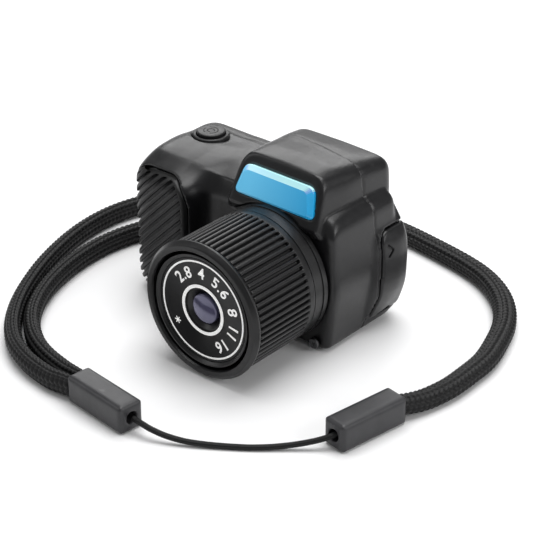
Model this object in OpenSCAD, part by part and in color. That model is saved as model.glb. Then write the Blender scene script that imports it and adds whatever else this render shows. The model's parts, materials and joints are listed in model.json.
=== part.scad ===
// Subminiature digital camera shaped like a small single-lens reflex, with a wrist strap.
// Millimetres. +Z is up, the lens faces -Y and the port cover is on the +X side.
// The origin is on the base, under the lens axis, at the middle of the body's depth.

/* [Body] */
// Left end of the body, on the grip side, as a distance from the lens axis
grip_side = 36; // [35.5:0.1:36.5]
// Height of the flat top beside the hump
body_h = 30.2; // [30:0.1:30.6]
// Thickness of the shells' walls
wall = 1.3; // [1.1:0.1:1.4]
// Gap at the seam between the two shells
seam_gap = 0.16; // [0.1:0.02:0.3]

/* [Lens] */
// Height of the lens axis above the base
lens_z = 14.1; // [14.05:0.05:14.4]
// Radius over the focus ring's ridges
ring_r = 13.6; // [13.2:0.05:13.7]
// Radius of the ring's front bezel, which all but touches the ground
bezel_r = 14; // [13.7:0.05:14]
// Number of ridges round the focus ring
ridges = 64; // [40:2:72]
// Front face of the lens, in front of the origin
lens_front = 29.8; // [29.4:0.1:30.4]
// Radial clearance between the focus ring and the lens tube
ring_fit = 0.06; // [0.03:0.01:0.1]

/* [Controls] */
// Radius of the shutter button's cap
shutter_r = 2.85; // [2.6:0.05:2.9]
// Radius of each rear button
key_r = 1.9; // [1.5:0.1:2]
// Radius of the port cover's hinge pin
pin_r = 0.35; // [0.3:0.05:0.4]

/* [Strap] */
// Length of an end clip
clip_l = 15.6; // [15:0.1:15.8]
// Width of an end clip
clip_w = 5.4; // [5.2:0.1:6]
// Height of an end clip
clip_h = 5.8; // [5.6:0.1:6]

/* [Hidden] */
$fn = 64;

big = 80;
front_y = -8.8;
back_y = 13.9;
cut = 0.01;
// Clearance round a part that sits in a recess
seat_gap = 0.05;

// ---- rounded outlines ----

function unit(v) = v / norm(v);
function left_of(v) = [-v.y, v.x];
function xy(c) = [c.x, c.y];
// Corner i of a convex anticlockwise outline, with both its edges moved in by d
function inset_corner(c, i, d) =
  let (n = len(c), p = xy(c[i]), a = unit(p - xy(c[(i + n - 1) % n])), b = unit(xy(c[(i + 1) % n]) - p))
  p + (left_of(a) + left_of(b)) * d / (1 + a * b);
// Arc that rounds corner p between its two neighbours
function corner_arc(before, p, after, r) =
  let (
    a = unit(before - p), b = unit(after - p),
    half = acos(max(-1, min(1, a * b))) / 2,
    centre = p + unit(a + b) * r / sin(half),
    first = p + a * r / tan(half) - centre,
    start = atan2(first.y, first.x), turn = 180 - 2 * half, steps = max(1, ceil(turn / 9))
  )
  [for (k = [0:steps]) centre + r * [cos(start + turn * k / steps), sin(start + turn * k / steps)]];
// Outline with corners [x, y, radius], all moved in by d
function outline(c, d = 0) =
  let (n = len(c), p = [for (i = [0:n - 1]) inset_corner(c, i, d)])
  [for (i = [0:n - 1]) each corner_arc(p[(i + n - 1) % n], p[i], p[(i + 1) % n], max(c[i].z - d, 0.25))];
// Rectangle from x0,y0 to x1,y1 with one corner radius
function rect(x0, y0, x1, y1, r) = [[x0, y0, r], [x1, y0, r], [x1, y1, r], [x0, y1, r]];

// Outline in X and Z, drawn along Y
module along_y(points, y0 = -big, y1 = big) {
  translate([0, y1, 0]) rotate([90, 0, 0]) linear_extrude(y1 - y0) polygon(points);
}
// Outline in Y and Z, drawn along X
module along_x(points, x0 = -big, x1 = big) {
  translate([x0, 0, 0]) rotate([90, 0, 90]) linear_extrude(x1 - x0) polygon(points);
}
// Outline in X and Y, drawn along Z
module along_z(points, z0 = -big, z1 = big) {
  translate([0, 0, z0]) linear_extrude(z1 - z0) polygon(points);
}
// Solid whose front, side and top views are the three outlines
module three_views(front, side, top, d) {
  intersection() {
    along_y(outline(front, d));
    along_x(outline(side, d));
    along_z(outline(top, d));
  }
}
module ball(centre, r) {
  translate(centre) sphere(r = r, $fn = 28);
}
module block(low, high) {
  translate(low) cube(high - low);
}
// Cylinder on the lens axis, from y0 to y1
module lens_disc(r, y0, y1) {
  translate([0, y1, lens_z]) rotate([90, 0, 0]) cylinder(r = r, h = y1 - y0);
}
module lens_ring(r_out, r_in, y0, y1) {
  difference() {
    lens_disc(r_out, y0, y1);
    lens_disc(r_in, y0 - 1, y1 + 1);
  }
}
// Disc on the lens axis whose radius goes from r0 at y0 to r1 at y1
module lens_cone(r0, r1, y0, y1) {
  translate([0, y0, lens_z]) rotate([-90, 0, 0]) cylinder(r1 = r0, r2 = r1, h = y1 - y0);
}
// Cylinder along Y at x,z
module rod_y(x, z, r, y0, y1) {
  translate([x, y1, z]) rotate([90, 0, 0]) cylinder(r = r, h = y1 - y0);
}
module rod_z(x, y, r, z0, z1) {
  translate([x, y, z0]) cylinder(r = r, h = z1 - z0);
}

// ---- outer form of the body ----

body_front = [[-grip_side, 0, 5], [13.2, 0, 1.5], [15.4, 14, 20], [13.8, 28.6, 5], [0, body_h, 40],
              [-grip_side, body_h - 0.3, 6.5]];
body_side = [[front_y, 0, 1], [12.4, 0, 2.5], [12.4, body_h, 5], [-1, body_h, 12], [-6.6, 28.6, 0.8],
             [front_y, 25, 3]];
body_top = [[-grip_side, front_y, 12], [15.4, front_y, 1.2], [15.4, 12.4, 3], [-grip_side, 12.4, 6]];

grip_x = -17.2;
grip_y = -14.6;
grip_back = [[-grip_side, 0, 7], [grip_x, 0, 2.5], [grip_x, 29.6, 3], [-grip_side, 29.9, 6.5]];

hump_front = [[-11.4, 24, 0.5], [11.4, 24, 0.5], [9.4, 36, 3.4], [0, 36.8, 20], [-9.4, 36, 3.4]];
hump_back = [[-12.8, 24, 0.5], [12.8, 24, 0.5], [11.8, 35.2, 4.2], [0, 36.2, 20], [-11.8, 35.2, 4.2]];
hump_side = [[-8.4, 24, 0.4], [14.2, 24, 1], [14.2, 33.6, 4], [7, 35.5, 10], [-1, 36.4, 10],
             [-5.4, 35.7, 0.8], [-9.5, 26, 0.8]];
hump_top = [[-13, -13, 0.5], [13, -13, 0.5], [12.9, 14.2, 3.4], [-12.9, 14.2, 3.4]];

back_front = [[-33, 0.8, 4], [13, 0, 5], [17, 9.5, 10], [17.3, 17.8, 8], [11, 26.8, 5], [-33, 26.8, 4]];
back_side = [[1.6, 0, 0.3], [back_y, 0, 4], [back_y, 28, 5], [4.6, 29.5, 0.3]];
back_top = [[-33, 1.6, 0.3], [15, 1.6, 0.3], [17.6, 9.5, 4], [16.8, back_y, 3.5], [-33, back_y, 5]];

module main_form(d) {
  three_views(body_front, body_side, body_top, d);
}
// Domed grip: four balls at its front run back to the body's end
module grip_form(d) {
  hull() {
    ball([-26.6, -5.2, 19], 9.4 - d);
    ball([-29.5, 0, 23.5], 6.5 - d);
    ball([-28.4, -7.4, 6.4], 6.4 - d);
    ball([grip_x - 3.5, grip_y + 3.5, 22.6], 3.5 - d);
    ball([grip_x - 3.5, grip_y + 3.5, 3.5], 3.5 - d);
    along_y(outline(grip_back, d), -0.5, 0);
  }
}
module back_form(d) {
  three_views(back_front, back_side, back_top, d);
}
// The hump widens a little from its front to its back
module hump_form(d) {
  intersection() {
    hull() {
      along_y(outline(hump_front, d), -10, -9);
      along_y(outline(hump_back, d), 14, 15);
    }
    along_x(outline(hump_side, d));
    along_z(outline(hump_top, d));
  }
}
module outer_form() {
  main_form(0);
  grip_form(0);
  back_form(0);
  hump_form(0);
}
module inner_form() {
  main_form(wall);
  grip_form(wall + 0.9);
  back_form(wall);
  hump_form(wall);
}
// Region in front of the seam; d moves the seam back. On the +X side the seam
// stands upright beside the port cover and leans forward below it.
module seam_region(d) {
  side_x = 12.6;
  difference() {
    along_z([[-big, -big], [big, -big], [big, 4.6 + d], [10, 4.5 + d], [-11, 7.5 + d], [-big, 7.5 + d]]);
    block([side_x, -big, -big], [big, big, big]);
  }
  along_x([[-big, -big], [1.9 + d, -big], [1.9 + d, 0], [4.4 + d, 7.5], [4.7 + d, 24], [4.7 + d, big],
           [-big, big]], side_x, big);
}

// ---- openings ----

// Flash window: a trapezium in the hump's front, leaning back
window_y = -7.35;
window_z = 30.7;
window_lean = 20.5;
module window_plate(grow, back, front) {
  w = 19.5 / 2 + grow;
  t = 16.7 / 2 + grow;
  h = 6 / 2 + grow;
  translate([0, window_y, window_z]) rotate([-window_lean, 0, 0])
    along_y(outline([[-w, -h, 1], [w, -h, 1], [t, h, 1.3], [-t, h, 1.3]]), front, back);
}

shutter_x = -27;
shutter_y = 3.8;
shutter_z = 29.5;
collar_r = 3.9;
collar_neck_r = 3.3;
screen_low = [-14.5, 5.2];
screen_high = [11.5, 24.7];
screen = rect(screen_low.x, screen_low.y, screen_high.x, screen_high.y, 1.2);
keys = [[-19.5, 22.5], [-25.5, 22.5], [-22.5, 15.5], [-22.5, 8.5]];
eyepiece = rect(-7, 25.4, 7, 31, 1.5);
screw_spots = [[-30, 4.8], [-30.5, 22.2], [9, 3.05], [8.3, 26.4]];
front_screw_spots = [[-10.6, 1.9], [10.6, 1.9]];

// Port bay on the +X side
bay_low = [12.6, 6.7, 2.4];
bay_high = [19, 11.5, 20.4];
cover_x = 14;
cover_gap = 0.6;
cover_front = 5.3;
cover_low = 1.6;
cover_high = 21.2;
hinge_x = 14;
hinge_y = 13.65;
knuckle_r = 0.75;
knuckle_gap = 0.25;
knuckle_z = [6.5, 8.9, 14.1, 16.5];

// ---- shells ----

module front_shell() {
  color([0.13, 0.13, 0.14]) difference() {
    union() {
      intersection() {
        difference() {
          outer_form();
          inner_form();
        }
        seam_region(-seam_gap / 2);
      }
      // screw bosses
      intersection() {
        for (s = screw_spots) rod_y(s.x, s.y, 1.7, -13, 3.4);
        union() {
          main_form(wall / 2);
          grip_form(wall);
        }
      }
    }
    for (s = screw_spots) rod_y(s.x, s.y, 0.72, -4, 4);
    for (s = front_screw_spots) rod_y(s.x, s.y, 0.45, -12, -5);
    // lens throat
    lens_disc(9, -12, -4);
    // seat and hole of the flash window
    window_plate(seat_gap, 0.3, -6);
    window_plate(-0.9, 6, -6);
    // seat of the grip pad
    pad_seat(seat_gap);
    // seat of the shutter collar
    rod_z(shutter_x, shutter_y, collar_r, shutter_z, 34);
    rod_z(shutter_x, shutter_y, collar_neck_r, 26, 34);
    // seat of the lens flange
    lens_disc(flange_r + seat_gap, -20, front_y);
  }
}
module rear_shell() {
  color([0.13, 0.13, 0.14]) difference() {
    union() {
      difference() {
        outer_form();
        inner_form();
        seam_region(seam_gap / 2);
      }
      // bay liner
      difference() {
        intersection() {
          block([bay_low.x - 1, 1, cover_low - 0.9], [bay_high.x, back_y, cover_high + 0.9]);
          back_form(0.5);
        }
        seam_region(seam_gap / 2);
      }
      for (s = screw_spots) difference() {
        rod_y(s.x, s.y, 1.7, 3.5, 12.4);
        rod_y(s.x, s.y, 0.9, 3, 13);
      }
      shell_knuckles();
    }
    // pocket for the cover, cleared to the liner
    difference() {
      cover_blank(0.3);
      back_form(1.4);
      shell_knuckles();
    }
    block(bay_low, bay_high);
    rod_z(hinge_x, hinge_y, knuckle_r + knuckle_gap, knuckle_z[1] - 0.15, knuckle_z[2] + 0.15);
    rod_z(hinge_x, hinge_y, pin_r, knuckle_z[0] - 1, knuckle_z[3] + 1);
    usb_space();
    card_space();
    // screen seat and hole
    along_y(outline(screen, -seat_gap), 13.1, 16);
    along_y(outline(screen, 1.2), 11, 16);
    for (k = keys) rod_y(k.x, k.y, key_r + 0.2, 11, 16);
    for (s = screw_spots) {
      rod_y(s.x, s.y, 0.75, 3, 16);
      rod_y(s.x, s.y, 1.35, 10.6, 16);
    }
    // seat and hole of the eyepiece
    along_y(outline(eyepiece, -seat_gap), 12.6, 16);
    along_y(outline(eyepiece, 1.9), 10, 16);
    rod_z(shutter_x, shutter_y, collar_r, shutter_z, 34);
    rod_z(shutter_x, shutter_y, collar_neck_r, 26, 34);
  }
}
// Outline of the port cover in side view, drawn right through; its front edge follows the seam
module cover_blank(grow) {
  upper = [[cover_front, 8, 0.3], [16, 8, 0.3], [16, cover_high, 0.3], [cover_front, cover_high, 2.4]];
  along_x(outline(upper, -grow), cover_x - grow * 1.5, 19);
  difference() {
    block([cover_x - grow * 1.5, 0, cover_low - grow], [19, 16, 14]);
    seam_region(cover_gap - grow);
  }
}
// The shell's two knuckles of the cover's hinge
module shell_knuckles() {
  for (z = [knuckle_z[0], knuckle_z[2] + 0.15]) rod_z(hinge_x, hinge_y, knuckle_r, z, z + 2.25);
}
// Outline of the grip pad and the ribbed area inside its border, on a plane that leans back
pad_lean = 35;
pad_edge = [[-37, -6.4, 5], [-18.8, -6.4, 4.5], [-18.8, 12.8, 4.5], [-22.5, 16.4, 5], [-31.5, 16.2, 6],
            [-37, 10.5, 3]];
rib_area = [[-40, -5.4, 0.5], [-19.8, -5.4, 3.5], [-19.8, 12.6, 3.5], [-22.9, 15.4, 4.2], [-31, 15.2, 5],
            [-40, 6, 0.5]];
rib_pitch = 2.06;
rib_groove = 0.6;
module pad_prism(points) {
  intersection() {
    rotate([-pad_lean, 0, 0]) along_y(points, -45, 30);
    block([-45, -20, -1], [-10, -4.6, 35]);
  }
}
module pad_seat(grow) {
  difference() {
    pad_prism(outline(pad_edge, -grow));
    grip_form(0.9);
  }
}
// Slanting grooves of even depth between the ribs; they stop short of the pad's border
module pad_grooves() {
  difference() {
    intersection() {
      for (k = [-5:14])
        translate([-27, -12, 6.2 + rib_pitch * k]) rotate([0, -45, 0])
          cube([60, 30, rib_groove], center = true);
      pad_prism(outline(rib_area));
    }
    grip_form(0.55);
  }
}
module grip_pad() {
  color([0.09, 0.09, 0.1]) difference() {
    intersection() {
      pad_seat(0);
      grip_form(0.05);
    }
    pad_grooves();
  }
}

// ---- flash ----

module flash_window() {
  color([0.28, 0.66, 0.88]) union() {
    window_plate(0, 0.25, -0.6);
    window_plate(-0.5, 0.25, -1.05);
  }
}
module flash_led() {
  color([0.95, 0.9, 0.6]) translate([0, window_y, window_z]) rotate([-window_lean, 0, 0])
    block([-2.6, 2.2, -1.8], [2.6, 3.2, 1.8]);
}
module flash_board() {
  color([0.05, 0.35, 0.15]) translate([0, window_y, window_z]) rotate([-window_lean, 0, 0])
    block([-6, 3.2, -2.2], [6, 4, 2.2]);
}

// ---- lens ----

flange_r = 13.7;
tube_r = 11.4;
ring_back = -12.3;
bezel_back = -lens_front + 1.9;
dial_y = -28.8;
glass_r = 3;
glass_front = -28.2;
glass_back = -25.2;

module lens_flange() {
  color([0.06, 0.06, 0.07]) lens_ring(flange_r, 9, -9.9, front_y);
}
// Fixed tube: the smooth band at its back stops the focus ring
module lens_tube() {
  color([0.12, 0.12, 0.13]) difference() {
    union() {
      lens_ring(13.5, 9.5, -12.2, -9.9);
      lens_ring(tube_r, 10.65, -29.3, -9.9);
      lens_ring(tube_r - 0.2, 4.6, -11.2, -9.9);
    }
    lens_cone(11.2, 10.4, -29.35, -28.6);
  }
}
module focus_ring() {
  groove_r = 0.36;
  color([0.1, 0.1, 0.11]) difference() {
    union() {
      lens_ring(13.2, tube_r + ring_fit, bezel_back, ring_back);
      translate([0, ring_back - 0.9, lens_z]) rotate([90, 0, 0]) linear_extrude(-bezel_back + ring_back - 1.3)
        difference() {
          circle(r = ring_r);
          circle(r = 12.5);
          for (k = [0:ridges - 1])
            rotate(360 * k / ridges) translate([ring_r + 0.08, 0]) circle(r = groove_r, $fn = 20);
        }
    }
    lens_disc(12, bezel_back - 1, bezel_back + 3);
  }
}
module front_bezel() {
  color([0.1, 0.1, 0.11]) difference() {
    union() {
      lens_cone(bezel_r - 0.6, bezel_r, -lens_front, -lens_front + 0.6);
      lens_disc(bezel_r, -lens_front + 0.6, bezel_back);
    }
    lens_disc(12, -31, bezel_back + 1);
    lens_cone(12.7, 12, -lens_front - cut, -lens_front + 0.7);
  }
}
module dial_plate() {
  color([0.05, 0.05, 0.06]) difference() {
    lens_disc(10.6, dial_y, dial_y + 1.2);
    lens_disc(4.45, dial_y - 1, dial_y + 3);
  }
}
module dial_inner_ring() {
  color([0.93, 0.93, 0.93]) lens_ring(5.1, 4.45, dial_y - 0.15, dial_y);
}
module lens_cell() {
  color([0.06, 0.06, 0.07]) difference() {
    union() {
      lens_disc(4.4, dial_y + 0.4, -22);
      lens_disc(4, -22, -15.5);
    }
    lens_disc(2.4, glass_back - 1, -15);
    lens_disc(glass_r + seat_gap, -31, glass_back);
    lens_cone(4.1, glass_r + seat_gap, dial_y + 0.39, -27.4);
  }
}
module front_lens() {
  dome = 4.6;
  color([0.3, 0.3, 0.42, 0.6]) intersection() {
    lens_disc(glass_r, glass_front - 1, glass_back);
    translate([0, glass_front + dome, lens_z]) sphere(r = dome);
  }
}
module rear_lens() {
  color([0.6, 0.65, 0.8, 0.5]) lens_disc(2.35, -20.5, -18.8);
}
module lens_holder() {
  color([0.08, 0.08, 0.09]) difference() {
    union() {
      lens_disc(5, -21, -16.5);
      block([-6, -16.5, lens_z - 6], [6, -12, lens_z + 6]);
    }
    lens_disc(4.05, -22, -15.4);
    lens_disc(3.2, -22, -13.9);
    block([-4, -14, lens_z - 4], [4, -11, lens_z + 4]);
  }
}
module ir_filter() {
  color([0.5, 0.75, 0.9, 0.5]) block([-3.9, -14, lens_z - 3.9], [3.9, -13.6, lens_z + 3.9]);
}
module image_sensor() {
  color([0.25, 0.25, 0.3]) block([-3, -13, lens_z - 2.6], [3, -12, lens_z + 2.6]);
}
module sensor_board() {
  color([0.05, 0.35, 0.15]) block([-6.2, -12, lens_z - 6.2], [6.2, -11.2, lens_z + 6.2]);
}
module sensor_ribbon() {
  color([0.75, 0.5, 0.15]) union() {
    block([-2.5, -11.2, lens_z + 1], [2.5, 4.95, lens_z + 1.25]);
    block([-2.5, 4.95, lens_z - 3], [2.5, 5.2, lens_z + 1.25]);
  }
}

// ---- shutter ----

module shutter_collar() {
  color([0.1, 0.1, 0.11]) difference() {
    union() {
      translate([shutter_x, shutter_y, shutter_z])
        cylinder(r1 = collar_r - seat_gap, r2 = collar_r - 0.3, h = 0.8);
      rod_z(shutter_x, shutter_y, collar_neck_r - seat_gap, 28.2, shutter_z);
    }
    rod_z(shutter_x, shutter_y, shutter_r + 0.15, shutter_z - 0.6, 34);
    rod_z(shutter_x, shutter_y, 2.4, 26, 34);
  }
}
module shutter_button() {
  color([0.1, 0.1, 0.11]) union() {
    rod_z(shutter_x, shutter_y, 2.2, 27.5, 29.6);
    rod_z(shutter_x, shutter_y, shutter_r, 29.5, 30.7);
    translate([shutter_x, shutter_y, 30.7]) cylinder(r1 = shutter_r, r2 = shutter_r - 0.2, h = 0.2);
  }
}
module shutter_switch() {
  color([0.8, 0.8, 0.82]) union() {
    block([shutter_x - 2.25, shutter_y - 2.25, 24.8], [shutter_x + 2.25, shutter_y + 2.25, 26.2]);
    rod_z(shutter_x, shutter_y, 1.1, 26.2, 26.95);
  }
}
module switch_board() {
  color([0.05, 0.35, 0.15]) block([shutter_x - 4, 0.5, 24], [shutter_x + 4.5, 7, 24.8]);
}

// ---- boards, battery, screen, keys ----

module main_board() {
  color([0.05, 0.35, 0.15]) block([-28.1, 5.2, 4.8], [11, 6, 24]);
}
module board_chips() {
  color([0.12, 0.12, 0.13]) union() {
    block([-14, 6, 10], [-6, 7.1, 18]);
    block([-4.5, 6, 17.6], [1.5, 7, 22.6]);
  }
}
module microphone() {
  color([0.75, 0.75, 0.78]) rod_y(-14.5, 7.5, 2, 3.3, 5.2);
}
module battery() {
  color([0.75, 0.76, 0.78]) block([-33, -3.2, 6.6], [-18.2, 3.2, 20.4]);
}
module battery_pad() {
  color([0.25, 0.25, 0.25]) block([-28, 3.2, 8], [-19, 5.2, 20]);
}
module screen_window() {
  color([0.03, 0.03, 0.04])
    along_y(outline(screen), 13.1, back_y - 0.05);
}
module screen_module() {
  color([0.5, 0.52, 0.55])
    block([screen_low.x + 0.8, 10.6, screen_low.y + 0.8], [screen_high.x - 2.2, 12.4, screen_high.y - 0.8]);
}
module screen_ribbon() {
  color([0.75, 0.5, 0.15]) union() {
    block([-12, 10.35, 7], [-6, 10.6, 12]);
    block([-12, 6, 6.75], [-6, 10.6, 7]);
  }
}
// A rear key: cap through the shell, and a flange that keeps it in
module key_cap(k) {
  color([0.16, 0.16, 0.17]) union() {
    rod_y(k.x, k.y, key_r, 12.4, 14.3);
    rod_y(k.x, k.y, key_r - 0.25, 14.3, 14.5);
    rod_y(k.x, k.y, key_r + 0.5, 11.9, 12.4);
  }
}
module key_board() {
  color([0.05, 0.35, 0.15]) union() {
    block([-28.4, 9, 6], [-16.8, 9.8, 25]);
    block([-25, 6, 9], [-21, 9, 11]);
    for (k = keys) {
      block([k.x - 1.6, 9.8, k.y - 1.6], [k.x + 1.6, 10.9, k.y + 1.6]);
      rod_y(k.x, k.y, 0.9, 10.9, 11.45);
    }
  }
}
module eyepiece_frame() {
  color([0.07, 0.07, 0.08]) difference() {
    along_y(outline(eyepiece), 12.6, back_y);
    along_y(outline(eyepiece, 1.2), 12, 15);
  }
}
module eyepiece_glass() {
  color([0.2, 0.25, 0.3, 0.6]) along_y(outline(eyepiece, 1.2), 12.6, 13.4);
}

// ---- port bay ----

module port_cover() {
  color([0.13, 0.13, 0.14]) difference() {
    union() {
      intersection() {
        difference() {
          back_form(0);
          back_form(1.1);
        }
        cover_blank(0);
      }
      rod_z(hinge_x, hinge_y, knuckle_r, knuckle_z[1], knuckle_z[2]);
    }
    // room for the shell's knuckles and the bore for the pin
    rod_z(hinge_x, hinge_y, knuckle_r + knuckle_gap, knuckle_z[0] - 0.2, knuckle_z[1]);
    rod_z(hinge_x, hinge_y, knuckle_r + knuckle_gap, knuckle_z[2], knuckle_z[3] + 0.2);
    rod_z(hinge_x, hinge_y, pin_r + 0.05, 0, 25);
    // fingernail notch
    rod_y(16.4, 2.6, 0.8, 6.6, 9.6);
  }
}
module cover_pin() {
  color([0.75, 0.75, 0.78]) rod_z(hinge_x, hinge_y, pin_r, knuckle_z[0], knuckle_z[3]);
}
usb = rect(8.3, 10.4, 11.5, 19.4, 1.4);
module usb_space() {
  along_x(outline(usb, -seat_gap), 7, 13.2);
}
module usb_socket() {
  color([0.78, 0.78, 0.8]) difference() {
    union() {
      along_x(outline(usb), 9.8, 13.2);
      block([9.8, 6, 17.2], [11, 9.4, 19]);
    }
    along_x(outline(usb, 0.3), 10.4, 15);
  }
}
module card_space() {
  block([-1.6, 6 - seat_gap, 4.8 - seat_gap], [12.7, 8.1 + seat_gap, 16.8 + seat_gap]);
}
module card_socket() {
  color([0.78, 0.78, 0.8]) difference() {
    block([-1.6, 6, 4.8], [12.4, 8.1, 16.8]);
    block([-1.2, 6.9, 5.2], [14, 7.9, 16.4]);
  }
}
module memory_card() {
  color([0.1, 0.1, 0.12]) block([-0.5, 7, 5.3], [13.6, 7.8, 16.3]);
}

// ---- screws ----

module front_screws() {
  color([0.3, 0.3, 0.32]) for (s = front_screw_spots) {
    rod_y(s.x, s.y, 0.85, front_y - 0.4, front_y);
    rod_y(s.x, s.y, 0.45, front_y, -6);
  }
}
module case_screws() {
  color([0.3, 0.3, 0.32]) for (s = screw_spots) {
    rod_y(s.x, s.y, 1.3, 10.6, 11.8);
    rod_y(s.x, s.y, 0.72, -3, 10.6);
  }
}

// ---- strap ----

lug_low = [-35.4, 9.6, 0.2];
lug_high = [-31, 14, 5.4];
module strap_lug() {
  color([0.13, 0.13, 0.14]) difference() {
    along_z(outline(rect(lug_low.x, lug_low.y, lug_high.x, lug_high.y, 1.2)), lug_low.z, lug_high.z);
    outer_form();
  }
}

// Routes of the strap's cords: centre points, each with the section's width and height there.
// The long cord stands on its edge beside the short one, then turns flat behind the camera.
long_route = [
  [-12.6, -50.9, 2.8, 2.6, 4.2], [-15.5, -50.9, 2.5, 3.1, 4.3], [-19, -50.8, 2.15, 3.4, 4.3],
  [-25.5, -49.7, 2.15, 3.4, 4.3], [-31.5, -47.3, 2.15, 3.4, 4.3], [-36.3, -43.8, 2.15, 3.4, 4.3],
  [-40.4, -39.4, 2.15, 3.4, 4.3], [-44, -34.4, 2.15, 3.4, 4.3], [-47.2, -28.8, 2.15, 3.4, 4.3],
  [-50.2, -22.5, 2.15, 3.4, 4.3], [-52.6, -16, 2.15, 3.4, 4.3], [-54.4, -9.5, 2.15, 3.4, 4.3],
  [-55.4, -3, 2.15, 3.4, 4.3], [-55.4, 3, 2.15, 3.4, 4.3], [-54.4, 8.5, 2.15, 3.4, 4.3],
  [-52.2, 15, 2.15, 3.4, 4.3], [-48.5, 21.2, 2.1, 3.6, 4.2], [-43.5, 26.8, 2.05, 3.8, 4.1],
  [-37, 31.5, 2, 4, 4], [-29.5, 35, 1.9, 4.3, 3.8], [-21, 37.2, 1.85, 4.5, 3.7],
  [-12, 38.1, 1.8, 4.7, 3.6], [-3.5, 38, 1.8, 4.7, 3.6], [5.5, 36.9, 1.8, 4.7, 3.6],
  [14.5, 35.3, 1.8, 4.7, 3.6], [21, 33.2, 1.8, 4.7, 3.6], [26.5, 29.8, 1.8, 4.7, 3.6],
  [31, 25.4, 1.8, 4.7, 3.6], [34.5, 20.2, 1.8, 4.7, 3.6], [37, 14.2, 1.8, 4.7, 3.6],
  [39, 7.5, 1.8, 4.7, 3.6], [39.5, 1, 1.8, 4.7, 3.6], [39.5, -5, 1.8, 4.7, 3.6],
  [38.5, -10.5, 1.8, 4.7, 3.6], [37.5, -14.2, 2.3, 4.4, 3.6], [36.6, -16.7, 2.8, 4.2, 3.6]
];
short_route = [
  [-12.4, -48.3, 2.8, 2.6, 4.2], [-15.3, -47.9, 2.5, 3.1, 4.3], [-18.5, -47.3, 2.15, 3.4, 4.3],
  [-24.3, -46, 2.15, 3.4, 4.3], [-29.6, -43.8, 2.15, 3.4, 4.3], [-34, -40.8, 2.15, 3.4, 4.3],
  [-37.8, -37, 2.15, 3.4, 4.3], [-41, -32.4, 2.15, 3.4, 4.3], [-43.6, -27.2, 2.15, 3.4, 4.3],
  [-45.6, -21.4, 2.15, 3.4, 4.3], [-46.9, -15.2, 2.15, 3.4, 4.3], [-47.4, -8.8, 2.15, 3.4, 4.3],
  [-46.9, -2.8, 2.15, 3.4, 4.3], [-45.4, 2.6, 2.15, 3.4, 4.3], [-42.8, 7.2, 2.15, 3.4, 4.3],
  [-39.4, 10.4, 2.3, 3.4, 4.2], [-35.4, 11.8, 2.6, 3.2, 4]
];
string_route = [
  [3.2, -51.3, 2.9, 1.15, 1.15], [5.2, -51.3, 2.7, 1.15, 1.15], [7.6, -51, 2.2, 1.15, 1.15],
  [10.4, -50, 1.5, 1.15, 1.15], [13.6, -48.4, 0.95, 1.15, 1.15], [17, -46.3, 0.7, 1.15, 1.15],
  [20.2, -44.1, 0.6, 1.15, 1.15], [23.1, -42, 0.6, 1.15, 1.15], [25.8, -39.7, 0.7, 1.15, 1.15],
  [28.4, -37.3, 1, 1.15, 1.15], [31, -34.9, 1.6, 1.15, 1.15], [33, -32.9, 2.3, 1.15, 1.15],
  [34.2, -31.2, 2.9, 1.15, 1.15]
];

// Tube with an oval section that follows a route
module cord_tube(route, sides) {
  n = len(route);
  function at(i) = [route[i].x, route[i].y, route[i].z];
  function heading(i) = unit(at(min(i + 1, n - 1)) - at(max(i - 1, 0)));
  function across(i) = unit(cross(heading(i), [0, 0, 1]));
  function ring(i) = [
    for (k = [0:sides - 1])
      let (a = 360 * (k + 0.5) / sides)
      at(i) + across(i) * cos(a) * route[i][3] / 2
        + cross(across(i), heading(i)) * sin(a) * route[i][4] / 2
  ];
  points = [for (i = [0:n - 1]) each ring(i)];
  skin = [
    for (i = [0:n - 2], k = [0:sides - 1])
      let (a = i * sides + k, b = i * sides + (k + 1) % sides)
      each [[a, b, a + sides], [b, b + sides, a + sides]]
  ];
  ends = [[for (k = [0:sides - 1]) sides - 1 - k], [for (k = [0:sides - 1]) (n - 1) * sides + k]];
  polyhedron(points, concat(skin, ends));
}
module strap_cord_long() {
  color([0.1, 0.1, 0.1]) cord_tube(long_route, 10);
}
module strap_cord_short() {
  color([0.1, 0.1, 0.1]) cord_tube(short_route, 10);
}
module clip_string() {
  color([0.06, 0.06, 0.06]) cord_tube(string_route, 8);
}

// End clip, its back end at x = 0 and the string's hole in its far end
module clip() {
  color([0.22, 0.22, 0.24]) difference() {
    intersection() {
      along_x(outline(rect(-clip_w / 2, 0, clip_w / 2, clip_h, 1.1)), 0, clip_l);
      along_z(outline(rect(0, -clip_w / 2, clip_l, clip_w / 2, 0.9)));
      along_y(outline(rect(0, 0, clip_l, clip_h, 0.9)));
    }
    translate([clip_l - 3, 0, clip_h / 2]) rotate([0, 90, 0]) cylinder(r = 1.2, h = 4);
  }
}
module clip_left() {
  translate([-12.5, -49.55, 0]) rotate([0, 0, -6.5]) clip();
}
module clip_right() {
  translate([36.6, -16.7, 0]) rotate([0, 0, -99.4]) clip();
}

front_shell();
rear_shell();
grip_pad();
flash_window();
flash_led();
flash_board();
lens_flange();
lens_tube();
focus_ring();
front_bezel();
dial_plate();
dial_inner_ring();
lens_cell();
front_lens();
rear_lens();
lens_holder();
ir_filter();
image_sensor();
sensor_board();
sensor_ribbon();
shutter_collar();
shutter_button();
shutter_switch();
switch_board();
main_board();
board_chips();
microphone();
battery();
battery_pad();
screen_window();
screen_module();
screen_ribbon();
key_cap(keys[0]);  // key_menu
key_cap(keys[1]);  // key_play
key_cap(keys[2]);  // key_up
key_cap(keys[3]);  // key_down
key_board();
eyepiece_frame();
eyepiece_glass();
port_cover();
cover_pin();
usb_socket();
card_socket();
memory_card();
front_screws();
case_screws();
strap_lug();
strap_cord_long();
strap_cord_short();
clip_left();
clip_right();
clip_string();
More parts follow.
